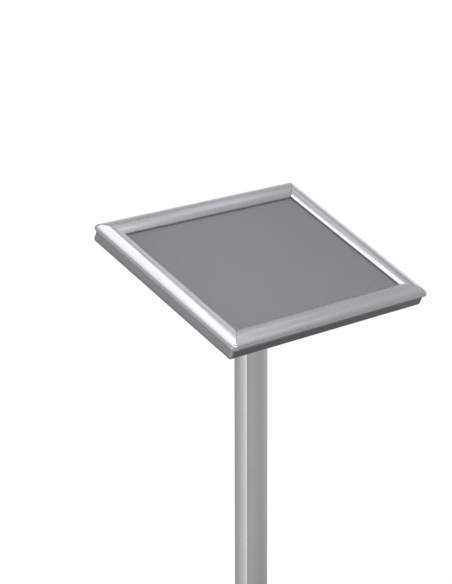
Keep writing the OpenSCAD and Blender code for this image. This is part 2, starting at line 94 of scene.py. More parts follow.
def circles_meet(p: Array, p_radius: float, q: Array, q_radius: float) -> Array:
    """Where two circles meet, on the left of the line from p to q.

    The foot of the crossing lies (gap^2 + p_radius^2 - q_radius^2) / (2 gap) along the line, and the crossing
    stands off from it by the other side of the right-angled triangle whose long side is p_radius.

    Args:
        p: Centre of the first circle.
        p_radius: Its radius.
        q: Centre of the second circle.
        q_radius: Its radius.

    Returns:
        The crossing point.
    """
    gap = np.linalg.norm(q - p)
    along = (gap ** 2 + p_radius ** 2 - q_radius ** 2) / (2 * gap)
    off = math.sqrt(p_radius ** 2 - along ** 2)
    direction = (q - p) / gap
    return p + along * direction + off * np.array([-direction[1], direction[0]])


def inset(outline: Array, amount: float) -> Array:
    """Moves a closed anticlockwise outline inwards by a set distance.

    Each point moves along the sum of the inward unit normals of its two edges, scaled by the amount over one
    plus the cosine between those normals, which keeps every edge parallel to where it was.

    Args:
        outline: The outline, n by 2.
        amount: The distance, positive inwards.

    Returns:
        The moved outline, n by 2.
    """
    before = outline - np.roll(outline, 1, axis=0)
    after = np.roll(before, -1, axis=0)
    normals = [np.column_stack((-e[:, 1], e[:, 0])) / np.linalg.norm(e, axis=1)[:, None]
               for e in (before, after)]
    scale = amount / (1 + (normals[0] * normals[1]).sum(axis=1))
    return outline + (normals[0] + normals[1]) * scale[:, None]


def rounded(corners: Sequence[Sequence[float]], radii: Union[float, Sequence[float]],
            steps: int = 8) -> Array:
    """Rounds the corners of a closed anticlockwise polygon.

    On each edge the arc starts the radius times the tangent of half the turning angle before the corner. Its
    points sweep from one edge's normal to the next about the arc's centre.

    Args:
        corners: The polygon's corners.
        radii: One radius, or one for each corner.
        steps: Points on each arc.

    Returns:
        An outline of corners times steps points.
    """
    point = np.asarray(corners, dtype=float)
    radius = np.broadcast_to(np.asarray(radii, dtype=float), len(point))
    into = point - np.roll(point, 1, axis=0)
    out = np.roll(into, -1, axis=0)
    first = np.arctan2(into[:, 1], into[:, 0])
    turn = (np.arctan2(out[:, 1], out[:, 0]) - first + math.pi) % (2 * math.pi) - math.pi
    side = np.where(turn < 0, -1.0, 1.0)
    unit = into / np.linalg.norm(into, axis=1)[:, None]
    start = point - unit * (radius * np.tan(np.abs(turn) / 2))[:, None]
    centre = start + np.column_stack((-unit[:, 1], unit[:, 0])) * (radius * side)[:, None]
    angle = first[:, None] - side[:, None] * math.pi / 2 + turn[:, None] * np.linspace(0, 1, steps)
    ring = np.stack((np.cos(angle), np.sin(angle)), axis=-1) * radius[:, None, None]
    return (centre[:, None, :] + ring).reshape(-1, 2)


def soften(outline: Array, radius: float, steps: int = 4, crisp: float = 28.0) -> Array:
    """Rounds the crisp corners of a closed outline and leaves its smooth runs.

    Each crisp corner becomes a quadratic curve, (1 - t)^2 start + 2 t (1 - t) corner + t^2 end, whose ends
    lie the radius away along both edges, or 0.4 of the edge where that is less.

    Args:
        outline: The outline, n by 2.
        radius: How far from the corner each curve starts.
        steps: Points on each curve.
        crisp: Corners that turn by more than this many degrees are rounded.

    Returns:
        The rounded outline.
    """
    into = outline - np.roll(outline, 1, axis=0)
    out = np.roll(into, -1, axis=0)
    length = [np.linalg.norm(e, axis=1)[:, None] for e in (into, out)]
    turn = np.degrees(np.arccos(np.clip(((into / length[0]) * (out / length[1])).sum(axis=1), -1, 1)))
    start = outline - into / length[0] * np.minimum(radius, 0.4 * length[0])
    end = outline + out / length[1] * np.minimum(radius, 0.4 * length[1])
    t = np.linspace(0, 1, steps)[None, :, None]
    curve = (1 - t) ** 2 * start[:, None] + 2 * t * (1 - t) * outline[:, None] + t ** 2 * end[:, None]
    sharp = turn > crisp
    curve[~sharp, 0] = outline[~sharp]
    return curve[sharp[:, None] | (np.arange(steps) == 0)]


def circle(radius: float, count: int = 48, at: Sequence[float] = (0.0, 0.0)) -> Array:
    """A circle as a closed outline of count points, anticlockwise."""
    return arc(at, radius, 0, 360, count + 1)[:-1]


def quarter_places(radius: float) -> Array:
    """Four places a quarter turn apart on a circle about the origin, from the first axis on."""
    angle = np.radians([0, 90, 180, 270])
    return radius * np.column_stack((np.cos(angle), np.sin(angle)))


def rectangle(low: Sequence[float], high: Sequence[float]) -> Array:
    """A rectangle's four corners, anticlockwise from the lowest."""
    return np.array([(low[0], low[1]), (high[0], low[1]), (high[0], high[1]), (low[0], high[1])], dtype=float)


def heights(end: Height, outline: Array) -> Array:
    """The height of an end at each point of an outline."""
    return end(outline) if callable(end) else np.full(len(outline), end)


def bore(outline: Array, low: Height, high: Height) -> Array:
    """A hole of constant section, as rings from its lower end to its upper one."""
    return np.stack([np.column_stack((outline, heights(end, outline))) for end in (low, high)])


# ---------------------------------------------------------------- placing and meshing

@dataclass(frozen=True)
class Axes:
    """A right-handed set of axes in the stand, for shapes that are worked out about their own origin."""

    origin: Array
    x: Array
    y: Array
    z: Array

    def place(self, local: Array) -> Array:
        """Takes points in these axes, with the coordinates last, to the stand's axes."""
        return self.origin + local[..., :1] * self.x + local[..., 1:2] * self.y + local[..., 2:3] * self.z

    def moved(self, x: float = 0.0, y: float = 0.0, z: float = 0.0) -> "Axes":
        """The same axes with the origin moved along them."""
        return Axes(self.place(np.array([x, y, z])), self.x, self.y, self.z)

    def turned(self, degrees: float) -> "Axes":
        """The same origin with x and y turned about z."""
        c, s = math.cos(math.radians(degrees)), math.sin(math.radians(degrees))
        return Axes(self.origin, c * self.x + s * self.y, c * self.y - s * self.x, self.z)

    def upended(self) -> "Axes":
        """The same origin with x along the old y, y along the old z and z along the old x."""
        return Axes(self.origin, self.y, self.z, self.x)

    def pointing(self, z: Array, x: Array) -> "Axes":
        """The same origin with z along one vector and x as near as it can be to another."""
        z = z / np.linalg.norm(z)
        x = x - z * (x @ z)
        x = x / np.linalg.norm(x)
        return Axes(self.origin, x, np.cross(z, x), z)


class Solid:
    """Gathers the grids and caps of one piece and turns them into one mesh object."""

    def __init__(self, name: str, axes: Axes) -> None:
        """Starts an empty piece.

        Args:
            name: The piece's name.
            axes: The axes in which its points are given.
        """
        self.name = name
        self.axes = axes
        self._points: list[Array] = []
        self._corners: list[Array] = []
        self._sizes: list[Array] = []
        self._uvs: list[Array] = []
        self._count = 0

    def _add(self, points: Array, faces: Array, uvs: Array) -> None:
        """Adds points, faces that index them, and a UV pair for each face corner."""
        self._points.append(self.axes.place(points.reshape(-1, 3)))
        self._corners.append(faces.ravel() + self._count)
        self._sizes.append(np.full(len(faces), faces.shape[1]))
        self._uvs.append(uvs.reshape(-1, 2))
        self._count += points.reshape(-1, 3).shape[0]

    def grid(self, points: Array, wrap_rows: bool = False, wrap_cols: bool = False) -> "Solid":
        """Adds a surface given as a grid of points, joined up by quads, with UVs in metres along both
        directions.

        Args:
            points: The grid, rows by columns by 3.
            wrap_rows: Whether the last row joins the first.
            wrap_cols: Whether the last column joins the first.

        Returns:
            This piece.
        """
        rows, cols = points.shape[:2]
        row, col = np.meshgrid(np.arange(rows - (not wrap_rows)), np.arange(cols - (not wrap_cols)),
                               indexing="ij")
        ring = [(0, 0), (0, 1), (1, 1), (1, 0)]
        faces = np.stack([(row + i) % rows * cols + (col + j) % cols for i, j in ring], axis=-1)
        row_step = np.linalg.norm(np.diff(points, axis=0, append=points[:1]), axis=2).max(axis=1)
        col_step = np.linalg.norm(np.diff(points, axis=1, append=points[:, :1]), axis=2).max(axis=0)
        u = np.concatenate(([0.0], np.cumsum(row_step)))
        v = np.concatenate(([0.0], np.cumsum(col_step)))
        uvs = np.stack([np.stack((u[row + i], v[col + j]), axis=-1) for i, j in ring], axis=-2)
        self._add(points, faces.reshape(-1, 4), uvs)
        return self

    def cap(self, loops: Sequence[Array], flat: Sequence[Array]) -> "Solid":
        """Closes an end with triangles.

        Args:
            loops: The outer loop and any holes, each n by 3.
            flat: The same loops drawn in a plane, each n by 2, which the triangles are worked out in.

        Returns:
            This piece.
        """
        plane = [[Vector((*p, 0.0)) for p in (loop / MM).tolist()] for loop in flat]
        triangles = np.array(tessellate_polygon(plane))
        drawn = np.concatenate(flat)
        self._add(np.concatenate(loops), triangles, drawn[triangles])
        return self

    def prism(self, outline: Array, low: Height, high: Height, holes: Sequence[Array] = (),
              round_low: float = 0.0, round_high: float = 0.0, steps: int = 4,
              between: Sequence[Height] = (),
              bend: Callable[[Array], Array] = lambda points: points) -> "Solid":
        """Adds a plate or bar: an outline carried from one height to another, with its rims rounded over.

        On a rounded rim the outline moves in by r (1 - cos a) while the height runs out by r sin a, for a
        from the upright side to the flat face.

        Args:
            outline: The outline, anticlockwise.
            low: Height of the lower end, or a function that gives it for points of the outline.
            high: Height of the upper end, in the same form.
            holes: Through holes, each as rings from the lower end to the upper one.
            round_low: Radius of the lower rim.
            round_high: Radius of the upper rim.
            steps: Steps on each rounded rim.
            between: Heights of further rows between the rims, from the lower to the upper.
            bend: Moves all the points once they are placed.

        Returns:
            This piece.
        """
        turn = np.radians(np.linspace(90, 0, steps + 1))
        rim = [(low, round_low, a, 1.0) for a in turn] + [(row, 0.0, 0.0, 0.0) for row in between]
        rim += [(high, round_high, a, -1.0) for a in turn[::-1]]
        rows = np.stack([
            np.column_stack((inset(outline, r * (1 - math.cos(a))),
                             heights(end, outline) + way * r * (1 - math.sin(a))))
            for end, r, a, way in rim
        ])
        walls = [rows, *holes]
        for wall in walls:
            self.grid(bend(wall), wrap_cols=True)
        for row in (0, -1):
            self.cap([bend(wall[row]) for wall in walls], [wall[row][:, :2] for wall in walls])
        return self

    def plate(self, outline: Array, low: float, high: float, cuts: Sequence[Array] = (),
              round_low: float = 0.0, round_high: float = 0.0, steps: int = 4) -> "Solid":
        """Adds a prism whose holes go straight through it, each given as an outline; see prism."""
        straight = [bore(cut, low, high) for cut in cuts]
        return self.prism(outline, low, high, straight, round_low, round_high, steps)

    def turned(self, rows: Sequence[tuple[Union[float, Array], Union[float, Array]]], segments: int = 48,
               closed: bool = False) -> "Solid":
        """Adds a surface about the axes' z: at height h the point at angle a lies at r (cos a, sin a).

        Args:
            rows: Radius and height of each row, each a number or one value for each step round the axis.
            segments: Steps round the axis.
            closed: Whether the last row joins the first, as on a ring.

        Returns:
            This piece.
        """
        angle = np.linspace(0, 2 * math.pi, segments, endpoint=False)
        r, h = (np.stack([np.broadcast_to(row[i], segments) for row in rows]) for i in (0, 1))
        return self.grid(np.stack((r * np.cos(angle), r * np.sin(angle), h), axis=-1), closed, True)

    @staticmethod
    def _turn_outwards(weld: bmesh.types.BMesh) -> None:
        """Turns over each closed shell whose volume, a sixth of the sum of p . (q x r) over its triangles, is
        negative. Corners that share a triangle take the lowest of their labels until every shell has one.

        Args:
            weld: The mesh, with each shell's faces already facing one way.
        """
        weld.verts.index_update()
        place = np.array([vert.co[:] for vert in weld.verts])
        triangles = np.array([[loop.vert.index for loop in corner] for corner in weld.calc_loop_triangles()])
        shell, settled = np.arange(len(place)), False
        while not settled:
            lower = shell.copy()
            np.minimum.at(lower, triangles, shell[triangles].min(axis=1)[:, None])
            settled, shell = bool((lower == shell).all()), lower[lower]
        p, q, r = (place - place.mean(axis=0))[triangles].transpose(1, 0, 2)
        volume = np.bincount(shell[triangles[:, 0]], (p * np.cross(q, r)).sum(axis=1), len(place))
        inside_out = volume[shell] < 0
        bmesh.ops.reverse_faces(weld, faces=[face for face in weld.faces if inside_out[face.verts[0].index]])

    def build(self, sharp: float = 32.0) -> bpy.types.Object:
        """Makes the mesh object, with its seams welded and its faces pointing outwards.

        Args:
            sharp: Edges that turn more than this many degrees stay crisp.

        Returns:
            The new object.
        """
        points = np.concatenate(self._points)
        corners = np.concatenate(self._corners).astype(np.int32)
        sizes = np.concatenate(self._sizes).astype(np.int32)
        mesh = bpy.data.meshes.new(self.name)
        mesh.vertices.add(len(points))
        mesh.vertices.foreach_set("co", points.ravel())
        mesh.loops.add(len(corners))
        mesh.loops.foreach_set("vertex_index", corners)
        mesh.polygons.add(len(sizes))
        mesh.polygons.foreach_set("loop_start", np.concatenate(([0], np.cumsum(sizes)[:-1])).astype(np.int32))
        mesh.uv_layers.new(name="UVMap").uv.foreach_set("vector", np.concatenate(self._uvs).ravel())
        mesh.update(calc_edges=True)
        mesh.validate()
        weld = bmesh.new()
        weld.from_mesh(mesh)
        bmesh.ops.remove_doubles(weld, verts=weld.verts, dist=WELD)
        bmesh.ops.dissolve_degenerate(weld, edges=weld.edges, dist=HAIR)
        bmesh.ops.recalc_face_normals(weld, faces=weld.faces)
        self._turn_outwards(weld)
        weld.to_mesh(mesh)
        weld.free()
        mesh.shade_smooth()
        mesh.set_sharp_from_angle(angle=math.radians(sharp))
        piece = bpy.data.objects.new(self.name, mesh)
        bpy.context.scene.collection.objects.link(piece)
        shading = piece.modifiers.new("flat faces first", "WEIGHTED_NORMAL")
        shading.keep_sharp = True
        return piece


def hexagon_radius(flats: float, segments: int) -> Array:
    """Distance from the centre to a hexagon's edge at evenly spaced angles: half the flats over the cosine of
    the angle from the nearest flat's middle."""
    angle = np.linspace(0, 2 * math.pi, segments, endpoint=False)
    return flats / 2 / np.cos((angle + math.pi / 6) % (math.pi / 3) - math.pi / 6)


def add_hexagon(solid: Solid, flats: float, low: float, high: float, bore: float = 0.0,
                segments: int = 72) -> None:
    """Adds a hexagonal head or nut whose corners are turned down: past the chamfer circle an end drops by the
    distance beyond that circle times the tangent of 30 degrees. A head's lower end stays flat.

    Args:
        solid: The piece to add to.
        flats: Size across the flats.
        low: Height of the lower end.
        high: Height of the upper end.
        bore: Radius of a nut's hole, or 0 for a solid head.
        segments: Steps round the axis.
    """
    edge = hexagon_radius(flats, segments)
    flat_edge = flats / 2 * 0.97
    drop = (edge - flat_edge) * math.tan(math.radians(30))
    solid.turned([(bore, low), (flat_edge, low), (edge, low + drop * (bore > 0)), (edge, high - drop),
                  (flat_edge, high), (bore, high)], segments, closed=bore > 0)


def add_thread(solid: Solid, radius: float, low: float, high: float, pitch: float,
               segments: int = 36) -> None:
    """Adds a threaded shank: its radius falls from the crest by the thread's depth times a triangle wave of
    height over pitch less the turn made, and runs out at a chamfered tip.

    Args:
        solid: The piece to add to.
        radius: Crest radius.
        low: Height of the tip.
        high: Height where the thread meets the head or the plain shank.
        pitch: Rise of one turn.
        segments: Steps round the axis.
    """
    rows = max(int((high - low) / pitch * 8), 2)
    height = np.linspace(low, high, rows)[:, None]
    turn = np.linspace(0, 1, segments, endpoint=False)[None, :]
    wave = np.abs((height / pitch - turn) % 1.0 - 0.5) * 2
    tip = np.clip((height - low) / pitch, 0, 1)
    shape = radius - 0.55 * pitch * (wave * tip + (1 - tip))
    solid.turned([(0.0, low), *zip(shape, height[:, 0]), (0.0, high)], segments)


def add_ring(solid: Solid, outer: float, inner: float, low: float, high: float,
             edge: float = 0.25 * MM) -> None:
    """Adds a flat ring with rounded rims.

    Args:
        solid: The piece to add to.
        outer: Outer radius.
        inner: Inner radius.
        low: Height of the lower face.
        high: Height of the upper face.
        edge: Radius of the rims.
    """
    solid.turned(list(map(tuple, rounded(rectangle((inner, low), (outer, high)), edge, 4))), closed=True)


def add_pin(solid: Solid, radius: float, low: float, high: float, edge: float = 0.4 * MM) -> None:
    """Adds a round pin with chamfered ends.

    Args:
        solid: The piece to add to.
        radius: The pin's radius.
        low: Height of the lower end.
        high: Height of the upper end.
        edge: Width of the chamfers.
    """
    solid.turned([(0.0, low), (radius - edge, low), (radius, low + edge), (radius, high - edge),
                  (radius - edge, high), (0.0, high)], 32)


# ---------------------------------------------------------------- shader graphs

class Graph:
    """A short way to write nodes into a tree."""

    def __init__(self, tree: bpy.types.NodeTree) -> None:
        """Keeps the tree that nodes go into."""
        self.tree = tree

    def add(self, kind: str, inputs: Union[Mapping[Union[str, int], Value], None] = None,
            **settings: object) -> bpy.types.Node:
        """Adds a node.

        Args:
            kind: The node's type without the ShaderNode in front.
            inputs: Sockets by name or number, each a constant or a socket to link from.
            **settings: The node's own properties.

        Returns:
            The node.
        """
        node = self.tree.nodes.new("ShaderNode" + kind)
        for name, value in settings.items():
            setattr(node, name, value)
        self.feed(node, inputs or {})
        return node

    def feed(self, node: bpy.types.Node, inputs: Mapping[Union[str, int], Value]) -> None:
        """Links sockets to a node's inputs, and sets the inputs that are given as constants."""
        for key, value in inputs.items():
            if isinstance(value, bpy.types.NodeSocket):
                self.tree.links.new(value, node.inputs[key])
            else:
                node.inputs[key].default_value = value

    @property
    def place(self) -> Socket:
        """The point's place on the object, in metres."""
        return self.add("TexCoord").outputs["Object"]

    def noise(self, vector: Socket, scale: Value, detail: float, distortion: float = 0.0) -> Socket:
        """Adds a Noise texture and returns its value."""
        inputs = {"Vector": vector, "Scale": scale, "Detail": detail, "Distortion": distortion}
        return self.add("TexNoise", inputs).outputs[0]

    def ramp(self, value: Socket, low: float, high: float, start: float = 0.0, end: float = 1.0) -> Socket:
        """Takes a value that goes from low to high to one that goes from start to end, and stays between
        them."""
        return self.add("MapRange", {0: value, 1: low, 2: high, 3: start, 4: end}, clamp=True).outputs[0]

    def grey(self, level: Socket) -> Socket:
        """A level as a colour."""
        return self.add("CombineXYZ", {0: level, 1: level, 2: level}).outputs[0]

    def math(self, operation: str, *values: Value) -> Socket:
        """Adds a Math node on up to three values and returns its output."""
        return self.add("Math", dict(enumerate(values)), operation=operation).outputs[0]

    def vector(self, operation: str, *values: Value) -> Socket:
        """Adds a Vector Math node and returns its vector output, or its value where it gives a number."""
        node = self.add("VectorMath", dict(enumerate(values)), operation=operation)
        return node.outputs["Value" if operation in ("DOT_PRODUCT", "LENGTH", "DISTANCE") else "Vector"]

    def blend(self, factor: Value, low: Value, high: Value) -> Socket:
        """Mixes two colours and returns the mixed colour."""
        node = self.add("Mix", data_type="RGBA")
        self.feed(node, {0: factor, 6: low, 7: high})
        return node.outputs[2]


class SharedEffect:
    """A shader node group that is built once and used by several finishes."""

    name: ClassVar[str] = ""
    inputs: ClassVar[Mapping[str, tuple[str, object]]] = {}
    outputs: ClassVar[Mapping[str, str]] = {}

    def fill(self, graph: Graph, given: Mapping[str, Socket]) -> Mapping[str, Socket]:
        """Writes the effect's nodes and returns the socket that feeds each output."""
        raise NotImplementedError

    def tree(self) -> bpy.types.NodeTree:
        """The group's tree, built on the first call."""
        if self.name in bpy.data.node_groups:
            return bpy.data.node_groups[self.name]
        tree = bpy.data.node_groups.new(self.name, "ShaderNodeTree")
        for name, (kind, default) in self.inputs.items():
            socket = tree.interface.new_socket(name, in_out="INPUT", socket_type=kind)
            if default is not None:
                socket.default_value = default
        for name, kind in self.outputs.items():
            tree.interface.new_socket(name, in_out="OUTPUT", socket_type=kind)
        given = tree.nodes.new("NodeGroupInput")
        result = tree.nodes.new("NodeGroupOutput")
        for name, socket in self.fill(Graph(tree), given.outputs).items():
            tree.links.new(socket, result.inputs[name])
        return tree

    def use(self, graph: Graph, **values: Value) -> bpy.types.NodeOutputs:
        """Places the effect in a material.

        Args:
            graph: The material's graph.
            **values: The group's inputs.

        Returns:
            The group node's outputs.
        """
        return graph.add("Group", values, node_tree=self.tree()).outputs


class LengthwiseGrain(SharedEffect):
    """Die lines of an extrusion: noise stretched along U, in a fine and a coarse band."""

    name = "lengthwise grain"
    inputs = {"Coordinates": ("NodeSocketVector", None), "Fineness": ("NodeSocketFloat", 1.0)}
    outputs = {"Lines": "NodeSocketFloat", "Bands": "NodeSocketFloat"}

    def fill(self, graph: Graph, given: Mapping[str, Socket]) -> Mapping[str, Socket]:
        """Writes two stretched noises; see the base class."""
        fine = graph.vector("MULTIPLY", given["Coordinates"], (2.5, 2600.0, 1.0))
        broad = graph.vector("MULTIPLY", given["Coordinates"], (0.9, 210.0, 1.0))
        return {
            "Lines": graph.noise(fine, given["Fineness"], 2.0),
            "Bands": graph.noise(broad, given["Fineness"], 4.0),
        }


class HandlingMarks(SharedEffect):
    """What hands and cloths leave: soft smudges, and hairline scratches where stretched noise passes a
    threshold."""

    name = "handling marks"
    inputs = {"Coordinates": ("NodeSocketVector", None)}
    outputs = {"Smudges": "NodeSocketFloat", "Scratches": "NodeSocketFloat"}

    def fill(self, graph: Graph, given: Mapping[str, Socket]) -> Mapping[str, Socket]:
        """Writes a clouded noise and two crossed hairline noises; see the base class."""
        place = given["Coordinates"]
        cloud = graph.noise(place, 19.0, 5.0, 0.6)
        smudge = graph.ramp(cloud, 0.42, 0.68)
        lines = []
        for turn in ((0.3, 0.2, 0.9), (1.1, 0.7, 2.3)):
            turned = graph.add("Mapping", {"Vector": place, "Rotation": turn, "Scale": (14.0, 900.0, 900.0)})
            noise = graph.noise(turned.outputs[0], 1.0, 1.0)
            lines.append(graph.ramp(noise, 0.74, 0.80))
        return {"Smudges": smudge, "Scratches": graph.math("MAXIMUM", *lines)}


class EdgeWear(SharedEffect):
    """Where an edge has been rubbed: how convex the mesh is there, broken up by noise."""

    name = "edge wear"
    inputs = {"Coordinates": ("NodeSocketVector", None), "Amount": ("NodeSocketFloat", 1.0)}
    outputs = {"Mask": "NodeSocketFloat"}

    def fill(self, graph: Graph, given: Mapping[str, Socket]) -> Mapping[str, Socket]:
        """Writes the convexity ramp times a noise; see the base class."""
        convex = graph.add("NewGeometry").outputs["Pointiness"]
        ramp = graph.ramp(convex, 0.515, 0.60)
        noise = graph.noise(given["Coordinates"], 130.0, 4.0)
        broken = graph.ramp(noise, 0.38, 0.62)
        return {"Mask": graph.math("MULTIPLY", graph.math("MULTIPLY", ramp, broken), given["Amount"])}


class SettledDust(SharedEffect):
    """Dust that settles on faces that look up: the normal's rise, smoothed, times a speckled noise."""

    name = "settled dust"
    inputs = {"Coordinates": ("NodeSocketVector", None), "Amount": ("NodeSocketFloat", 0.1)}
    outputs = {"Mask": "NodeSocketFloat"}

    def fill(self, graph: Graph, given: Mapping[str, Socket]) -> Mapping[str, Socket]:
        """Writes the upward ramp times two noises; see the base class."""
        rise = graph.vector("DOT_PRODUCT", graph.add("NewGeometry").outputs["Normal"], (0.0, 0.0, 1.0))
        up = graph.ramp(rise, 0.35, 0.95)
        specks = graph.noise(given["Coordinates"], 700.0, 2.0)
        drift = graph.noise(given["Coordinates"], 9.0, 3.0)
        grains = graph.ramp(specks, 0.45, 0.70)
        spread = graph.math("MULTIPLY", graph.math("MULTIPLY", grains, drift), given["Amount"])
        return {"Mask": graph.math("MULTIPLY", up, spread)}


class SkinTexture(SharedEffect):
    """The fine relief of a cast, coated or moulded skin: rounded cells over a finer noise."""

    name = "skin texture"
    inputs = {"Coordinates": ("NodeSocketVector", None), "Cells": ("NodeSocketFloat", 900.0)}
    outputs = {"Height": "NodeSocketFloat", "Mottle": "NodeSocketFloat"}

    def fill(self, graph: Graph, given: Mapping[str, Socket]) -> Mapping[str, Socket]:
        """Writes smooth cells plus noise; see the base class."""
        cells = graph.add("TexVoronoi", {"Vector": given["Coordinates"], "Scale": given["Cells"]},
                          feature="SMOOTH_F1").outputs[0]
        noise = graph.noise(given["Coordinates"], given["Cells"], 3.0)
        mottle = graph.noise(given["Coordinates"], 45.0, 5.0)
        height = graph.math("ADD", graph.math("MULTIPLY", cells, 0.7), graph.math("MULTIPLY", noise, 0.3))
        return {"Height": height, "Mottle": mottle}


GRAIN, MARKS, WEAR, DUST, SKIN = LengthwiseGrain(), HandlingMarks(), EdgeWear(), SettledDust(), SkinTexture()
DUST_GREY = (0.42, 0.41, 0.39, 1.0)


# ---------------------------------------------------------------- finishes

@dataclass(frozen=True)
class Finish:
    """A procedural material. Each kind of finish writes its own nodes in dress."""

    title: str
    colour: tuple[float, float, float]
    roughness: float
    metallic: float = 0.0
    dust: float = 0.25
    wear: float = 0.5

    @functools.cache
    def material(self) -> bpy.types.Material:
        """The finish as a material, made once."""
        material = bpy.data.materials.new(self.title)
        material.use_nodes = True
        material.diffuse_color = (*self.colour, 1.0)
        graph = Graph(material.node_tree)
        shader = material.node_tree.nodes["Principled BSDF"]
        shader.inputs["Metallic"].default_value = self.metallic
        self.dress(graph, shader)
        return material

    def dress(self, graph: Graph, shader: bpy.types.Node) -> None:
        """Writes the finish's nodes.

        Args:
            graph: The material's graph.
            shader: Its Principled shader.
        """
        raise NotImplementedError

    def tone(self, scale: float, tint: float = 0.0) -> tuple[float, float, float, float]:
        """The finish's colour made lighter or darker, and warmer or cooler by the tint."""
        r, g, b = (min(c * scale, 1.0) for c in self.colour)
        return (min(r * (1 + tint), 1.0), g, min(b * (1 - tint), 1.0), 1.0)

    def surface(self, graph: Graph, shader: bpy.types.Node, colour: Value, roughness: Value, height: Value,
                depth: float) -> None:
        """Lays dust over a colour and roughness, adds relief and joins them to the shader.

        Args:
            graph: The material's graph.
            shader: Its Principled shader.
            colour: The clean colour.
            roughness: The clean roughness.
            height: The relief.
            depth: How deep the relief is, in metres.
        """
        dust = DUST.use(graph, Coordinates=graph.place, Amount=self.dust)["Mask"]
        link = graph.tree.links.new
        link(graph.blend(dust, colour, DUST_GREY), shader.inputs["Base Color"])
        link(graph.math("ADD", roughness, graph.math("MULTIPLY", dust, 0.5)), shader.inputs["Roughness"])
        bump = graph.add("Bump", {"Height": height, "Distance": depth, "Strength": 1.0})
        link(bump.outputs[0], shader.inputs["Normal"])


@dataclass(frozen=True)
class AnodisedAluminium(Finish):
    """Satin anodised extrusion: die lines along its length, faint banding, smudges and bright rubbed
    edges."""

    metallic: float = 1.0
    fineness: float = 1.0

    def dress(self, graph: Graph, shader: bpy.types.Node) -> None:
        """Writes the finish's nodes; see the base class."""
        coordinates = graph.add("TexCoord").outputs
        grain = GRAIN.use(graph, Coordinates=coordinates["UV"], Fineness=self.fineness)
        marks = MARKS.use(graph, Coordinates=coordinates["Object"])
        worn = WEAR.use(graph, Coordinates=coordinates["Object"], Amount=self.wear)["Mask"]
        colour = graph.blend(grain["Bands"], self.tone(0.975), self.tone(1.025))
        colour = graph.blend(graph.math("MULTIPLY", marks["Smudges"], 0.18), colour, self.tone(0.94, 0.01))
        colour = graph.blend(worn, colour, (0.88, 0.88, 0.89, 1.0))
        rough = graph.ramp(grain["Lines"], 0.3, 0.7, self.roughness - 0.03, self.roughness + 0.03)
        rough = graph.math("ADD", rough, graph.math("MULTIPLY", marks["Smudges"], 0.025))
        rough = graph.math("SUBTRACT", rough, graph.math("MULTIPLY", marks["Scratches"], 0.06))
        self.surface(graph, shader, colour, rough, grain["Lines"], 0.0000025)


@dataclass(frozen=True)
class PlatedSteel(Finish):
    """Zinc plated steel: bluish, cloudy where the passivation pooled, with spangle on sheet and rubbed
    edges."""

    metallic: float = 1.0
    spangle: float = 0.0

    def dress(self, graph: Graph, shader: bpy.types.Node) -> None:
        """Writes the finish's nodes; see the base class."""
        place = graph.place
        marks = MARKS.use(graph, Coordinates=place)
        skin = SKIN.use(graph, Coordinates=place, Cells=1500.0)
        worn = WEAR.use(graph, Coordinates=place, Amount=self.wear)["Mask"]
        flakes = graph.add("TexVoronoi", {"Vector": place, "Scale": 130.0}).outputs["Color"]
        flake = graph.add("SeparateColor", {0: flakes}).outputs[0]
        colour = graph.blend(skin["Mottle"], self.tone(0.86, -0.03), self.tone(1.08, 0.03))
        colour = graph.blend(graph.math("MULTIPLY", flake, self.spangle), colour, self.tone(1.35))
        colour = graph.blend(worn, colour, (0.80, 0.80, 0.79, 1.0))
        rough = graph.math("ADD", self.roughness, graph.math("MULTIPLY", marks["Smudges"], 0.08))
        rough = graph.math("ADD", rough, graph.math("MULTIPLY", flake, 0.12 * self.spangle))
        self.surface(graph, shader, colour, rough, skin["Height"], 0.000008)


@dataclass(frozen=True)
class CastMetal(Finish):
    """Die-cast zinc, tumbled: a softly pitted skin, mottled in tone and polished on its edges."""

    metallic: float = 1.0

    def dress(self, graph: Graph, shader: bpy.types.Node) -> None:
        """Writes the finish's nodes; see the base class."""
        place = graph.place
        skin = SKIN.use(graph, Coordinates=place, Cells=650.0)
        worn = WEAR.use(graph, Coordinates=place, Amount=self.wear)["Mask"]
        colour = graph.blend(skin["Mottle"], self.tone(0.85), self.tone(1.1))
        colour = graph.blend(worn, colour, self.tone(1.35))
        rough = graph.ramp(skin["Height"], 0.2, 0.8, self.roughness - 0.06, self.roughness + 0.1)
        self.surface(graph, shader, colour, rough, skin["Height"], 0.00006)


@dataclass(frozen=True)
class PowderCoat(Finish):
    """Powder coating: the slight orange peel of the cured skin, scuffs, and a thin gloss coat."""

    def dress(self, graph: Graph, shader: bpy.types.Node) -> None:
        """Writes the finish's nodes; see the base class."""
        place = graph.place
        skin = SKIN.use(graph, Coordinates=place, Cells=420.0)
        marks = MARKS.use(graph, Coordinates=place)
        shader.inputs["Coat Roughness"].default_value = 0.25
        shader.inputs["Coat Weight"].default_value = 0.3
        colour = graph.blend(skin["Mottle"], self.tone(0.96), self.tone(1.04))
        colour = graph.blend(graph.math("MULTIPLY", marks["Scratches"], 0.25), colour, self.tone(1.3))
        rough = graph.math("ADD", self.roughness, graph.math("MULTIPLY", marks["Smudges"], 0.08))
        self.surface(graph, shader, colour, rough, skin["Height"], 0.00005)


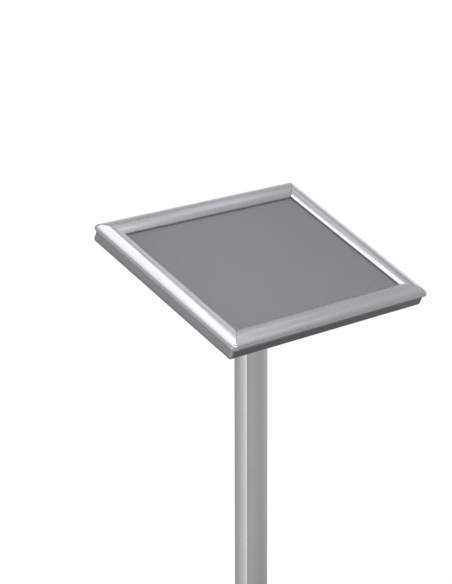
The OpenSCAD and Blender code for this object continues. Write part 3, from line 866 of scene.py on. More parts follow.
@dataclass(frozen=True)
class Moulded(Finish):
    """Moulded plastic or rubber: a fine spark texture, paler where it has been rubbed."""

    cells: float = 1300.0
    relief: float = 0.00004
    see_through: float = 0.0

    def dress(self, graph: Graph, shader: bpy.types.Node) -> None:
        """Writes the finish's nodes; see the base class."""
        place = graph.place
        skin = SKIN.use(graph, Coordinates=place, Cells=self.cells)
        worn = WEAR.use(graph, Coordinates=place, Amount=self.wear)["Mask"]
        shader.inputs["Subsurface Weight"].default_value = self.see_through
        shader.inputs["Subsurface Scale"].default_value = 0.002
        colour = graph.blend(skin["Mottle"], self.tone(0.9), self.tone(1.1))
        colour = graph.blend(worn, colour, self.tone(1.6))
        rough = graph.ramp(skin["Height"], 0.2, 0.8, self.roughness + 0.08, self.roughness - 0.05)
        self.surface(graph, shader, colour, rough, skin["Height"], self.relief)


@dataclass(frozen=True)
class RibbedPanel(Finish):
    """Grey backing panel of extruded board: close ribs run its length of draw, with a slow change of tone."""

    pitch: float = 2.98 * MM
    slant: float = -44.3

    def dress(self, graph: Graph, shader: bpy.types.Node) -> None:
        """Writes ribs as a sine of the slanted distance over the pitch, with a noise for the uneven draw; see
        the base class."""
        coordinates = graph.add("TexCoord").outputs
        turn = math.radians(self.slant)
        across = graph.vector("DOT_PRODUCT", coordinates["UV"], (math.cos(turn), math.sin(turn), 0.0))
        wave = graph.math("SINE", graph.math("MULTIPLY", across, 2 * math.pi / self.pitch))
        rib = graph.math("MULTIPLY_ADD", wave, 0.5, 0.5)
        drawn = graph.add("Mapping", {"Vector": coordinates["UV"], "Rotation": (0.0, 0.0, -turn),
                                      "Scale": (330.0, 3.0, 1.0)}).outputs[0]
        uneven = graph.noise(drawn, 1.0, 3.0)
        skin = SKIN.use(graph, Coordinates=coordinates["Object"], Cells=1100.0)
        stripes = graph.math("MULTIPLY_ADD", rib, 0.3, graph.math("MULTIPLY", uneven, 0.7))
        colour = graph.blend(stripes, self.tone(0.90), self.tone(1.10))
        colour = graph.blend(graph.math("MULTIPLY", skin["Mottle"], 0.3), colour, self.tone(0.95))
        shader.inputs["Coat Weight"].default_value = 0.8
        shader.inputs["Coat Roughness"].default_value = 0.22
        self.surface(graph, shader, colour, self.roughness, stripes, 0.00003)


@dataclass(frozen=True)
class ClearFilm(Finish):
    """Anti-glare cover film: nearly all of the light goes through, and the rest is a soft sheen with a few
    smudges."""

    cover: float = 0.07

    def dress(self, graph: Graph, shader: bpy.types.Node) -> None:
        """Writes the finish's nodes; see the base class."""
        place = graph.place
        marks = MARKS.use(graph, Coordinates=place)
        skin = SKIN.use(graph, Coordinates=place, Cells=2200.0)
        rough = graph.math("MULTIPLY_ADD", marks["Smudges"], 0.08, self.roughness)
        graph.tree.links.new(graph.math("MULTIPLY_ADD", marks["Scratches"], 0.05, self.cover),
                             shader.inputs["Alpha"])
        self.surface(graph, shader, self.tone(1.0), rough, skin["Height"], 0.000002)


class Finishes:
    """The stand's finishes."""

    RAIL = AnodisedAluminium("satin anodised rail", (0.780, 0.806, 0.832), 0.27)
    # The base profile is a darker copy of the rails' anodised aluminium. Its tone is partly the profile's own
    # darker anodising and partly painted shade on the frame's side walls.
    PROFILE = AnodisedAluminium("satin anodised base profile", (0.45, 0.45, 0.465), 0.30)
    POLE = AnodisedAluminium("satin anodised pole", (0.78, 0.785, 0.79), 0.25, fineness=0.8)
    BASE = PowderCoat("grey powder coat", (0.36, 0.37, 0.375), 0.45)
    RUBBER = Moulded("black rubber", (0.022, 0.022, 0.024), 0.75, cells=700.0, relief=0.0001)
    ZINC_CAST = CastMetal("tumbled die-cast zinc", (0.52, 0.53, 0.54), 0.42)
    PLATED = PlatedSteel("bright plated steel", (0.56, 0.57, 0.58), 0.28, wear=0.7)
    SHEET = PlatedSteel("galvanised sheet", (0.50, 0.51, 0.52), 0.40, spangle=0.5)
    PLASTIC = Moulded("black moulded plastic", (0.03, 0.03, 0.032), 0.5)
    NYLON = Moulded("natural nylon", (0.72, 0.70, 0.64), 0.45, see_through=0.3, wear=0.0)
    RIVET = CastMetal("rivet aluminium", (0.68, 0.685, 0.69), 0.30)
    SPRING = PlatedSteel("blued spring steel", (0.30, 0.31, 0.34), 0.30)
    PANEL = RibbedPanel("grey ribbed panel", (0.222, 0.241, 0.252), 0.55, dust=0.1)
    FILM = ClearFilm("clear cover film", (0.75, 0.78, 0.78), 0.16, dust=0.05)


# ---------------------------------------------------------------- pieces

def finish_piece(solid: Solid, body: str, slot: str, finish: Finish, *nodes: str) -> None:
    """Makes a piece, dresses it, lets it ride on its body and takes the place of the plain solids it stands
    for.

    Args:
        solid: The piece's surfaces.
        body: The body that it rides on.
        slot: Not used.
        finish: Its finish.
        *nodes: The plain solids that it replaces.
    """
    piece = solid.build()
    piece.data.materials.append(finish.material())
    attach(piece, body)
    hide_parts(*nodes)
    faces = sum(len(polygon.vertices) - 2 for polygon in piece.data.polygons)
    log.info("%s: %d triangles on %s, %s", piece.name, faces, body, finish.title)


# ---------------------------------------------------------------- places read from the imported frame

class Side(Enum):
    """The snap frame's four sides, each with how far it is turned from the front one, in degrees."""

    FRONT = 0
    RIGHT = 90
    REAR = 180
    LEFT = 270

    @property
    def label(self) -> str:
        """The side's name as the nodes and bodies spell it."""
        return self.name.lower()


def joint_place(name: str) -> Array:
    """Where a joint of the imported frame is, in metres."""
    return np.array(next(joint["pos_m"] for joint in frame["joints"] if joint["name"] == name))


def joint_axis(name: str) -> Array:
    """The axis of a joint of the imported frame, as a unit vector."""
    axis = np.array(next(joint["axis"] for joint in frame["joints"] if joint["name"] == name))
    return axis / np.linalg.norm(axis)


def reach(node: str, axes: Axes) -> tuple[Array, Array]:
    """The lowest and highest corner of a node along a set of axes.

    Args:
        node: The node's name.
        axes: The axes to measure along.

    Returns:
        The two corners, in those axes.
    """
    mesh = frame["nodes"][node].data
    points = np.empty(len(mesh.vertices) * 3, dtype=np.float32)
    mesh.vertices.foreach_get("co", points)
    local = (points.reshape(-1, 3) - axes.origin) @ np.column_stack((axes.x, axes.y, axes.z))
    return local.min(axis=0), local.max(axis=0)


STAND = Axes(np.zeros(3), *np.eye(3))
HEAD = Axes(joint_place("tilt"), *np.eye(3)).pointing(joint_axis("swivel"), joint_axis("tilt"))


# ---------------------------------------------------------------- the snap frame

@dataclass
class SnapFrame:
    """Four snap rails that hook round a bead on four base profiles, with the leaf springs between them and a
    cap at each corner."""

    rail_width: float = 26 * MM
    dome_radius: float = 21.5 * MM
    rail_wall: float = 1.5 * MM
    lip_radius: float = 3.2 * MM
    hinge_drop: float = 2.6 * MM
    bead_radius: float = 1.5 * MM
    bead_gap: float = 0.08 * MM
    open_angle: float = 95.0
    hook_from: float = 30.0
    hook_to: float = 230.0
    foot_bottom: float = -2.05 * MM
    fin: tuple[float, float, float] = (8.6 * MM, 9.6 * MM, -0.8 * MM)
    depth: float = 20.3 * MM
    wall_inset: float = 3.4 * MM
    wall: float = 1.5 * MM
    edge_radius: float = 5 * MM
    flange: float = 27 * MM
    chamber: float = 20 * MM
    arm: float = 1.2 * MM
    web: tuple[float, float] = (7.5 * MM, 9.0 * MM)
    shelf: tuple[float, float] = (-6.2 * MM, -4.7 * MM)
    shelf_end: float = 25.5 * MM
    rib: tuple[float, float] = (12.0 * MM, 13.2 * MM)
    rib_height: float = 2.2 * MM
    spring_share: float = 0.27
    spring_width: float = 18 * MM
    spring_at: float = 9.9 * MM
    spring_wall: float = 0.5 * MM
    rail_gap: float = 0.15 * MM
    profile_gap: float = 0.05 * MM
    cap_leg: float = 6.4 * MM
    cap_gap: float = 0.1 * MM
    cap_foot: float = 2.2 * MM
    cap_crown: float = -0.8 * MM
    lip_inner: float = 2.6 * MM
    wall_corner: float = 3 * MM
    rim: float = 0.12 * MM
    length: float = field(init=False)
    width: float = field(init=False)
    axes: Axes = field(init=False)

    def __post_init__(self) -> None:
        """Finds the frame's plane and outline from where the rails' hinges are."""
        front, rear, right = (joint_place(f"rail_{side}_open") for side in ("front", "rear", "right"))
        self.width = float((rear - front) @ HEAD.y) + 2 * self.lip_radius
        self.length = 2 * (float((right - HEAD.origin) @ HEAD.x) + self.lip_radius)
        self.axes = HEAD.moved(z=float((front - HEAD.origin) @ HEAD.z) + self.hinge_drop)

    @property
    def hinge(self) -> Array:
        """The hinge line in a section."""
        return np.array([self.lip_radius, -self.hinge_drop])

    def side_axes(self, side: Side) -> Axes:
        """Axes for a section of one side: x is its d, y its w, and z runs along the side from its middle."""
        across = self.width if side in (Side.FRONT, Side.REAR) else self.length
        return self.axes.turned(side.value).moved(y=-across / 2).upended()

    def half(self, side: Side) -> float:
        """Half the length of one side."""
        return (self.length if side in (Side.FRONT, Side.REAR) else self.width) / 2

    def rail_section(self) -> Array:
        """The snap rail's section: a domed shell, its rolled lip with a bore for the bead, its fin and its
        foot."""
        hinge, edge, bead = self.hinge, np.array([self.rail_width, 0.0]), self.bead_radius + self.bead_gap
        centre = circles_meet(edge, self.dome_radius, hinge, self.dome_radius - self.lip_radius)
        shell = self.dome_radius - self.rail_wall
        joint = circles_meet(hinge, self.lip_radius, centre, shell)
        crest = bearing(hinge - centre)
        foot_in = self.rail_width - self.rail_wall
        fin_in, fin_out, fin_low = self.fin
        under = [math.degrees(math.acos((d - centre[0]) / shell)) for d in (fin_in, fin_out, foot_in)]
        return soften(np.concatenate((
            [[self.rail_width, self.foot_bottom]],
            arc(centre, self.dome_radius, bearing(edge - centre), crest, 40),
            arc(hinge, self.lip_radius, crest, self.hook_to, 24)[1:],
            arc(hinge, bead, self.hook_to, self.hook_from, 24),
            arc(hinge, self.lip_radius, self.hook_from, bearing(joint - hinge), 6),
            arc(centre, shell, bearing(joint - centre), under[0], 8)[1:],
            [[fin_in, fin_low], [fin_out, fin_low]],
            arc(centre, shell, under[1], under[2], 28),
            [[foot_in, self.foot_bottom]],
        )), 0.4 * MM)

    def profile_sections(self) -> tuple[Array, Array]:
        """The base profile's outline and its sealed chamber."""
        hinge, half_arm = self.hinge, self.arm / 2
        web_out, web_in = self.web
        low, high = self.shelf
        rib_out, rib_in = self.rib
        spread = math.degrees(math.asin(half_arm / self.bead_radius))
        corner = np.array([self.wall_inset + self.edge_radius, -self.depth + self.edge_radius])
        floor_top, inner = -self.depth + self.wall, self.chamber + self.wall
        outer = np.concatenate((
            [[self.flange, -self.depth], [self.flange, floor_top], [inner, floor_top], [inner, low],
             [self.shelf_end, low], [self.shelf_end, high], [rib_in, high], [rib_in, high + self.rib_height],
             [rib_out, high + self.rib_height], [rib_out, high], [web_in, high],
             [web_in, hinge[1] + half_arm]],
            arc(hinge, self.bead_radius, spread, 360 - spread, 24),
            [[web_out, hinge[1] - half_arm], [web_out, low], [self.wall_inset, low]],
            arc(corner, self.edge_radius, 180, 270, 12),
        ))
        chamber = np.concatenate((
            [[self.chamber, floor_top], [self.chamber, low], [web_in, low], [web_in, low - self.wall],
             [self.wall_inset + self.wall, low - self.wall]],
            arc(corner, self.edge_radius - self.wall, 180, 270, 12),
        ))
        return soften(outer, 0.3 * MM), chamber

    def corner_rows(self, side: Side, end: Height, setback: float, radius: float) -> list[Height]:
        """Rows of a side's bar that are close together where its corners are rounded.

        Args:
            side: The side.
            end: Distance from the middle to the end of the bar at points of its section.
            setback: How far the rounded face lies inside the frame's outline.
            radius: The corner's radius in plan.

        Returns:
            Heights from one end to the other, each the smaller of the row's distance and the end's.
        """
        rows = self.half(side) - setback - radius * np.linspace(0.0, 1.0, 8)
        far = [lambda p, row=row: np.minimum(end(p) - self.rim, row) for row in rows[::-1]]
        near = [lambda p, row=row: -np.minimum(end(p) - self.rim, row) for row in rows]
        return near + far

    def round_corners(self, side: Side, setback: float, radius: float,
                      below: float) -> Callable[[Array], Array]:
        """A function that rounds the corners of a side's bar in plan. With a and b the distances of a point
        inside the two faces that meet at the corner, the square contour at a becomes an arc of radius r - a
        about (r, r): the point moves to r - (r - a) (cos t, sin t), where t = 45 (1 - (b - a) / (r - a))
        degrees.

        Args:
            side: The side.
            setback: How far the rounded face lies inside the frame's outline.
            radius: The corner's radius r.
            below: Only points lower than this in the section move.

        Returns:
            The function, for points in the side's axes.
        """
        straight = self.half(side) - setback

        def bend(points: Array) -> Array:
            """Moves the points that lie within a radius of both faces."""
            moved = points.copy()
            a, b = points[..., 0] - setback, straight - np.abs(points[..., 2])
            left = np.maximum(radius - a, 1e-9)
            turn = np.radians(45.0 * (1 - (b - a) / left))
            corner = (a < radius) & (b < radius) & (points[..., 1] < below)
            moved[..., 0] = np.where(corner, setback + radius - left * np.cos(turn), points[..., 0])
            along = straight - radius + left * np.sin(turn)
            moved[..., 2] = np.where(corner, np.copysign(along, points[..., 2]), points[..., 2])
            return moved

        return bend

    def bar(self, name: str, side: Side, outline: Array, end: Callable[[Array], Array], setback: float,
            radius: float, below: float, holes: Sequence[Array] = ()) -> Solid:
        """One side's bar, drawn out from its section and rounded at its corners; see round_corners."""
        solid = Solid(f"{name}_{side.label}", self.side_axes(side))
        return solid.prism(outline, lambda p: -end(p), end, holes, self.rim, self.rim, 2,
                           self.corner_rows(side, end, setback, radius),
                           self.round_corners(side, setback, radius, below))

    def build_rail(self, side: Side) -> None:
        """Builds one snap rail. Each end stops on the mitre plane, or short of where that plane would be with
        the rail swung open, whichever is nearer: half less the larger of d and the swung d. The lip stops at
        the cap."""
        inset = self.rail_gap * math.sqrt(2)
        half = self.half(side) - inset
        clear = self.cap_leg + self.cap_gap - inset
        c, s = math.cos(math.radians(self.open_angle)), math.sin(math.radians(self.open_angle))

        def end(points: Array) -> Array:
            """Distance from the middle to the end at points of the section."""
            d, w = (points - self.hinge).T
            short = np.maximum(points[:, 0], self.hinge[0] + c * d - s * w)
            lip = (np.hypot(d, w) < self.lip_radius + self.cap_gap) | (points[:, 0] < self.lip_inner)
            return half - np.where(lip, np.maximum(short, clear), short)

        rail = self.bar("rail", side, self.rail_section(), end, 0.0, self.cap_leg, self.rail_width)
        finish_piece(rail, f"rail_{side.label}", "anodised_rail", Finishes.RAIL, f"snap_rail_{side.label}")

    def build_profile(self, side: Side) -> None:
        """Builds one base profile, mitred at 45 degrees: it ends at half less d, and its bead stops at the
        cap."""
        half = self.half(side) - self.profile_gap * math.sqrt(2)
        outer, chamber = self.profile_sections()
        under = self.shelf[0] + 0.1 * MM

        def end(points: Array) -> Array:
            """Distance from the middle to the end at points of the section."""
            bead = points[:, 1] > under
            return half - np.where(bead, np.maximum(points[:, 0], self.cap_leg + self.cap_gap), points[:, 0])

        profile = self.bar("profile", side, outer, end, self.wall_inset, self.wall_corner, under,
                           [bore(chamber, lambda p: -end(p), end)])
        # The profile's darker finish carries painted shade for the frame's side walls.
        finish_piece(profile, "display", "anodised_profile", Finishes.PROFILE, f"base_profile_{side.label}")

    def build_springs(self, side: Side) -> None:
        """Builds the two leaf springs of one side: a foot on the shelf and a bowed leg that bears on the
        fin."""
        at, wall, top = self.spring_at, self.spring_wall, self.shelf[1]
        section = soften(np.array([
            (self.rib[0] - 0.2 * MM, top), (self.rib[0] - 0.2 * MM, top + wall), (at + 1.1 * MM, top + wall),
            (at + wall, top + 1.6 * MM), (at + wall, 0.4 * MM), (at + 1.0 * MM, 1.0 * MM),
            (at + 0.6 * MM, 1.3 * MM), (at, 0.6 * MM), (at, top + 1.5 * MM), (at + 0.7 * MM, top),
        ]), 0.5 * MM, crisp=15.0)
        solid = Solid(f"springs_{side.label}", self.side_axes(side))
        for way in (-1, 1):
            middle = way * 2 * self.half(side) * self.spring_share
            solid.prism(section, middle - self.spring_width / 2, middle + self.spring_width / 2,
                        round_low=0.12 * MM, round_high=0.12 * MM, steps=2)
        finish_piece(solid, "display", "spring_steel", Finishes.SPRING, f"rail_springs_{side.label}")

    def build_caps(self) -> None:
        """Builds the four corner caps: half of the rails' lip and a foot, turned through 90 degrees about an
        axis inside each corner. Above the crown a cap keeps clear of a square, so the radius there is at
        least the square's side over the larger of the turn's cosine and sine, and the height follows the
        lip's circle."""
        inner, crown, span = self.cap_leg - self.lip_radius, self.cap_crown, self.cap_leg * math.pi / 4
        bar, axis = -self.hinge_drop - self.bead_radius, 0.3 * MM
        section = soften(np.concatenate((
            [[axis, self.shelf[0]], [self.cap_foot, self.shelf[0]], [self.cap_foot, bar], [inner, bar]],
            arc(np.array([inner, -self.hinge_drop]), self.lip_radius, -90, 90, 36),
            [[inner, crown], [axis, crown]],
        )), 0.2 * MM)
        solid = Solid("corner_caps", self.axes.upended())
        rows = [span * k / 16 for k in range(1, 16)]
        for start in (0.0, 90.0, 180.0, 270.0):
            middle = math.radians(start + 45.0)
            centre = (math.copysign(self.width / 2 - self.cap_leg, math.cos(middle)),
                      math.copysign(self.length / 2 - self.cap_leg, math.sin(middle)))

            def bend(points: Array, start: float = start, centre: tuple[float, float] = centre) -> Array:
                """Turns points, whose z is the way along the span, about the cap's axis."""
                r, w, turn = points[..., 0], points[..., 1], points[..., 2] / span * math.pi / 2
                high = (w > crown - HAIR) & (r > inner - HAIR)
                clear = (inner + self.cap_gap) / np.maximum(np.cos(turn), np.sin(turn))
                r = np.where(high, np.maximum(r, clear), r)
                top = np.sqrt(np.maximum(self.lip_radius ** 2 - (r - inner) ** 2, 0.0)) - self.hinge_drop
                w = np.where(high, np.minimum(w, top), w)
                turn = turn + math.radians(start)
                return np.stack((centre[0] + r * np.cos(turn), w, centre[1] + r * np.sin(turn)), axis=-1)

            solid.prism(section, 0.0, span, (), self.rim, self.rim, 2, rows, bend)
        finish_piece(solid, "display", "anodised_rail", Finishes.RAIL, "corner_caps")

    def build(self) -> None:
        """Builds all four sides and the corners' caps."""
        for side in Side:
            self.build_rail(side)
            self.build_profile(side)
            self.build_springs(side)
        self.build_caps()


@dataclass
class DisplaySheets:
    """What lies inside the snap frame: the backing panel, the clear cover and the steel back sheet with its
    rivets."""

    snap: SnapFrame
    panel_corner: float = 1.5 * MM
    back_corner: float = 2 * MM
    rivet_radius: float = 1.6 * MM
    rivet_head: float = 3.2 * MM
    rivet_tail: float = 2.4 * MM
    rivet_shares: tuple[float, float] = (0.6, 0.42)
    screw_hole: float = 2.2 * MM
    bolt_hole: float = 4.2 * MM

    def rivet_places(self) -> Array:
        """The rivets' places in the frame's plane."""
        sheet, flange = reach("back_sheet", self.snap.axes)[1][:2], self.snap.flange
        outer = np.array([self.snap.length, self.snap.width]) / 2
        x, y = (sheet + outer - flange) / 2
        u, v = self.rivet_shares * outer
        long_side = [(at, way * y) for at in (-u, 0.0, u) for way in (-1, 1)]
        short_side = [(way * x, at) for at in (-v, v) for way in (-1, 1)]
        return np.array(long_side + short_side)

    def build_sheet(self, node: str, slot: str, finish: Finish, edge: float, corner: float,
                    holes: Sequence[Array] = ()) -> None:
        """Builds a flat sheet as large as its plain solid.

        Args:
            node: The plain solid that it replaces.
            slot: Passed on to finish_piece, which does not use it.
            finish: Its finish.
            edge: Radius of its rims.
            corner: Radius of its corners.
            holes: The outlines of its holes.
        """
        low, high = reach(node, self.snap.axes)
        solid = Solid(node.replace("_sheet", "").replace("backing_", ""), self.snap.axes)
        outline = rounded(rectangle(low[:2], high[:2]), corner, 6)
        solid.plate(outline, low[2], high[2], holes, edge, edge)
        finish_piece(solid, "display", slot, finish, node)

    def build(self) -> None:
        """Builds the sheets and the rivets."""
        self.build_sheet("backing_panel", "panel_grey", Finishes.PANEL, 0.35 * MM, self.panel_corner)
        self.build_sheet("cover_sheet", "clear_sheet", Finishes.FILM, 0.1 * MM, self.panel_corner)
        places = self.rivet_places()
        holes = [circle(self.rivet_radius + 0.05 * MM, 20, place) for place in places]
        holes += [circle(self.screw_hole, 20, place) for place in quarter_places(SCREW_CIRCLE)]
        holes.append(circle(self.bolt_hole, 32))
        self.build_sheet("back_sheet", "zinc_steel", Finishes.SHEET, 0.25 * MM, self.back_corner, holes)
        self.build_rivets(places)

    def build_rivets(self, places: Array) -> None:
        """Builds the blind rivets: the dome's radius falls as its height grows, by a quarter circle."""
        low, high = reach("back_rivets", self.snap.axes)
        under, over = -self.snap.depth, reach("back_sheet", self.snap.axes)[1][2]
        t = np.radians(np.linspace(0, 80, 6))
        rows = [(0.0, low[2]), (0.7 * MM, low[2] + 0.15 * MM)]
        rows += [(self.rivet_head * math.cos(a), under - (under - low[2]) * math.sin(a)) for a in t[::-1]]
        rows += [(self.rivet_radius, under), (self.rivet_radius, over)]
        rows += [(self.rivet_tail * math.cos(a) ** 0.6, over + (high[2] - over) * (0.15 + 0.85 * math.sin(a)))
                 for a in t]
        rows += [(0.8 * MM, high[2]), (0.7 * MM, high[2] - 0.8 * MM), (0.0, high[2] - 0.8 * MM)]
        solid = Solid("rivets", self.snap.axes)
        for x, y in places:
            solid.axes = self.snap.axes.moved(x, y)
            solid.turned(rows, 24)
        finish_piece(solid, "display", "rivet_aluminium", Finishes.RIVET, "back_rivets")


# ---------------------------------------------------------------- the tilt head and the turntable

@dataclass
class TiltHead:
    """The cast head on the pole, the bracket that tilts on it, and the turntable that turns on the
    bracket."""

    snap: SnapFrame
    bolt_radius: float = 4 * MM
    bolt_pitch: float = 1.25 * MM
    flats: float = 13 * MM
    head_height: float = 5.3 * MM
    washer_radius: float = 7.5 * MM
    washer_wall: float = 1.6 * MM
    bore_radius: float = 4.06 * MM
    loose: float = 0.2 * MM
    snug: float = 0.02 * MM
    disc_wall: float = 1 * MM
    ear_wall: float = 4 * MM
    ear_radius: float = 11 * MM
    ear_root: float = 17 * MM
    lug_radius: float = 10 * MM
    lug_width: float = 14 * MM
    slot_radius: float = 30 * MM
    slot_ends: tuple[float, float] = (45.0, 135.0)
    slot_play: float = 0.3 * MM
    pin_radius: float = 2 * MM
    pin_angle: float = 135.0
    screw_radius: float = 2 * MM
    screw_head: tuple[float, float] = (3.8 * MM, 2.8 * MM)
    screw_dome: float = 1.6 * MM
    screw_tip: float = 0.4 * MM
    flange_wall: float = 4 * MM
    spigot: tuple[float, float] = (8.9 * MM, 8 * MM)

    @property
    def cross(self) -> Axes:
        """Axes about the tilt axis: z along it, and x along the frame's normal."""
        return HEAD.pointing(HEAD.x, HEAD.z)

    @property
    def ear_face(self) -> float:
        """How far the ears' outer faces, which the washers bear on, are from the middle."""
        return float(reach("tilt_washers", self.cross)[1][2]) - self.washer_wall

    def build_bracket(self) -> None:
        """Builds the bracket: a round plate and two tapered ears, each an arc about the axis with straight
        flanks."""
        high = reach("tilt_bracket", HEAD)[1]
        plate_low, outer = high[2] - self.ear_wall, self.ear_face
        solid = Solid("bracket", HEAD)
        pin = np.array([math.cos(math.radians(self.pin_angle)), math.sin(math.radians(self.pin_angle))])
        holes = [circle(self.bore_radius, 32),
                 circle(self.pin_radius + self.snug, 20, pin * self.slot_radius)]
        solid.plate(circle(high[0], 96), plate_low, high[2], holes, 0.8 * MM, 0.4 * MM)
        solid.axes = self.cross
        foot = plate_low + 0.5 * MM
        ear = np.concatenate((arc((0, 0), self.ear_radius, 90, 270, 40),
                              [(foot, -self.ear_root), (foot, self.ear_root)]))
        for inner in (outer - self.ear_wall, -outer):
            solid.plate(soften(ear, 1 * MM), inner, inner + self.ear_wall, holes[:1], 0.6 * MM, 0.6 * MM)
        finish_piece(solid, "tilt_head", "cast_zinc", Finishes.ZINC_CAST, "tilt_bracket")

    def build_bolt_and_nut(self, joint: str, body: str, axes: Axes) -> None:
        """Builds a hexagon bolt and its nut, as long as their plain solids.

        Args:
            joint: The joint that they hold, which starts their names.
            body: The body that they ride on.
            axes: Axes with z along them, towards the bolt's head.
        """
        low, high = reach(f"{joint}_bolt", axes)
        bolt, seat = Solid(f"{joint}_bolt", axes), high[2] - self.head_height
        add_hexagon(bolt, self.flats, seat, high[2])
        add_thread(bolt, self.bolt_radius, low[2], seat, self.bolt_pitch)
        finish_piece(bolt, body, "plated_steel", Finishes.PLATED, f"{joint}_bolt")
        low, high = reach(f"{joint}_nut", axes)
        nut = Solid(f"{joint}_nut", axes)
        add_hexagon(nut, self.flats, low[2], high[2], self.bolt_radius + self.snug)
        finish_piece(nut, body, "plated_steel", Finishes.PLATED, f"{joint}_nut")

    def build_tilt_hardware(self) -> None:
        """Builds the tilt bolt, nut, washers, friction discs and the turntable's stop pin."""
        axes, face, bore_radius = self.cross, self.ear_face, self.bolt_radius + self.loose
        self.build_bolt_and_nut("tilt", "tilt_head", axes)
        washers = Solid("tilt_washers", axes)
        discs = Solid("friction_discs", axes)
        for way in (-1, 1):
            ends = sorted((way * face, way * (face + self.washer_wall)))
            add_ring(washers, self.washer_radius, bore_radius, *ends)
            inner = face - self.ear_wall
            ends = sorted((way * inner, way * (inner - self.disc_wall)))
            add_ring(discs, self.lug_radius, bore_radius, *ends, edge=0.15 * MM)
        finish_piece(washers, "tilt_head", "plated_steel", Finishes.PLATED, "tilt_washers")
        finish_piece(discs, "tilt_head", "dark_plastic", Finishes.PLASTIC, "friction_discs")
        pin = Solid("stop_pin", HEAD.turned(self.pin_angle).moved(self.slot_radius))
        low, high = reach("stop_pin", pin.axes)
        add_pin(pin, self.pin_radius, low[2], high[2])
        finish_piece(pin, "tilt_head", "plated_steel", Finishes.PLATED, "stop_pin")

    def slot(self) -> Array:
        """The turntable's quarter-round slot: two arcs about the swivel axis, closed by half circles."""
        half, (low, high) = self.pin_radius + self.slot_play, self.slot_ends
        start, stop = (self.slot_radius * np.array([math.cos(a), math.sin(a)])
                       for a in np.radians(self.slot_ends))
        return np.concatenate((
            arc((0, 0), self.slot_radius + half, low, high, 32), arc(stop, half, high, high + 180, 12)[1:-1],
            arc((0, 0), self.slot_radius - half, high, low, 28),
            arc(start, half, low + 180, low + 360, 12)[1:-1],
        ))

    def build_turntable(self) -> None:
        """Builds the turntable, its glide disc, the swivel bolt with its nut and washers, and the four
        screws."""
        axes = self.snap.axes
        low, high = reach("turntable", axes)
        at, bore_radius = quarter_places(SCREW_CIRCLE), self.bolt_radius + self.loose
        holes = [circle(bore_radius, 32), self.slot()]
        holes += [circle(self.screw_radius + self.snug, 20, place) for place in at]
        table = Solid("turntable", axes)
        table.plate(circle(high[0], 128), low[2], high[2], holes, 0.5 * MM, 0.5 * MM)
        finish_piece(table, "display", "zinc_steel", Finishes.SHEET, "turntable")
        glide = Solid("glide_disc", axes)
        low, high = reach("glide_disc", axes)
        add_ring(glide, high[0], bore_radius, low[2], high[2], 0.2 * MM)
        finish_piece(glide, "display", "nylon", Finishes.NYLON, "glide_disc")
        self.build_bolt_and_nut("swivel", "display", axes)
        washers = Solid("swivel_washers", axes)
        low, high = reach("swivel_washers", axes)
        for bottom in (low[2], high[2] - self.washer_wall):
            add_ring(washers, self.washer_radius, bore_radius, bottom, bottom + self.washer_wall)
        finish_piece(washers, "display", "plated_steel", Finishes.PLATED, "swivel_washers")
        self.build_screws(at)

    def build_screws(self, at: Array) -> None:
        """Builds the turntable's four pan-head screws: the head's radius follows a quarter circle, and the
        drive is a cross whose arms are a cosine of four times the angle."""
        low, high = reach("turntable_screws", self.snap.axes)
        head, rise = self.screw_head
        seat, sunk = high[2] - rise, high[2] - self.screw_dome
        angle = np.linspace(0, 2 * math.pi, 48, endpoint=False)
        drive = (0.75 + 1.15 * np.maximum(np.cos(4 * angle), 0) ** 2) * MM
        rows = [(0.0, sunk), (drive * 0.6, sunk), (drive, high[2])]
        rows += [(head / 2 * (1 + math.sin(a)), high[2] - self.screw_dome * (1 - math.cos(a)))
                 for a in np.radians(np.linspace(0, 90, 6))[1:]]
        rows += [(head, seat), (self.screw_radius, seat), (self.screw_radius, low[2] + self.screw_tip),
                 (self.screw_radius - self.screw_tip, low[2]), (0.0, low[2])]
        solid = Solid("turntable_screws", self.snap.axes)
        for x, y in at:
            solid.axes = self.snap.axes.moved(x, y)
            solid.turned(rows, 48)
        finish_piece(solid, "display", "plated_steel", Finishes.PLATED, "turntable_screws")

    def build_pole_head(self, pole: "PoleAndBase") -> None:
        """Builds the cast head: a cap with the pole's outline, a spigot inside the pole and a lug round the
        axis."""
        top = reach("pole", STAND)[1][2]
        low = reach("pole_head", STAND)[0]
        flange, axis = top + self.flange_wall, HEAD.origin[2]
        solid = Solid("pole_head", STAND)
        ports = [circle(pole.hole_radius, 24, (x, 0)) for x in (-pole.port_at, pole.port_at)]
        solid.plate(soften(pole.section(0.0), 0.6 * MM), top, flange, ports, round_high=0.8 * MM)
        spigot = np.array(self.spigot)
        solid.prism(rounded(rectangle(-spigot, spigot), 1 * MM, 4), low[2], top + 1 * MM, round_low=0.6 * MM)
        solid.axes = HEAD.pointing(STAND.x, STAND.z)
        foot = flange - axis - 0.5 * MM
        lug = np.concatenate((arc((0, 0), self.lug_radius, -90, 90, 40),
                              [(foot + 3 * MM, self.lug_radius), (foot, self.lug_radius)],
                              [(foot, -self.lug_radius), (foot + 3 * MM, -self.lug_radius)]))
        half = self.lug_width / 2
        solid.plate(soften(lug, 0.5 * MM), -half, half, [circle(self.bore_radius, 32)], 0.5 * MM, 0.5 * MM)
        finish_piece(solid, "stand", "cast_zinc", Finishes.ZINC_CAST, "pole_head")

    def build(self, pole: "PoleAndBase") -> None:
        """Builds the head, bracket, turntable and their hardware."""
        self.build_pole_head(pole)
        self.build_bracket()
        self.build_tilt_hardware()
        self.build_turntable()


# ---------------------------------------------------------------- the pole and the base

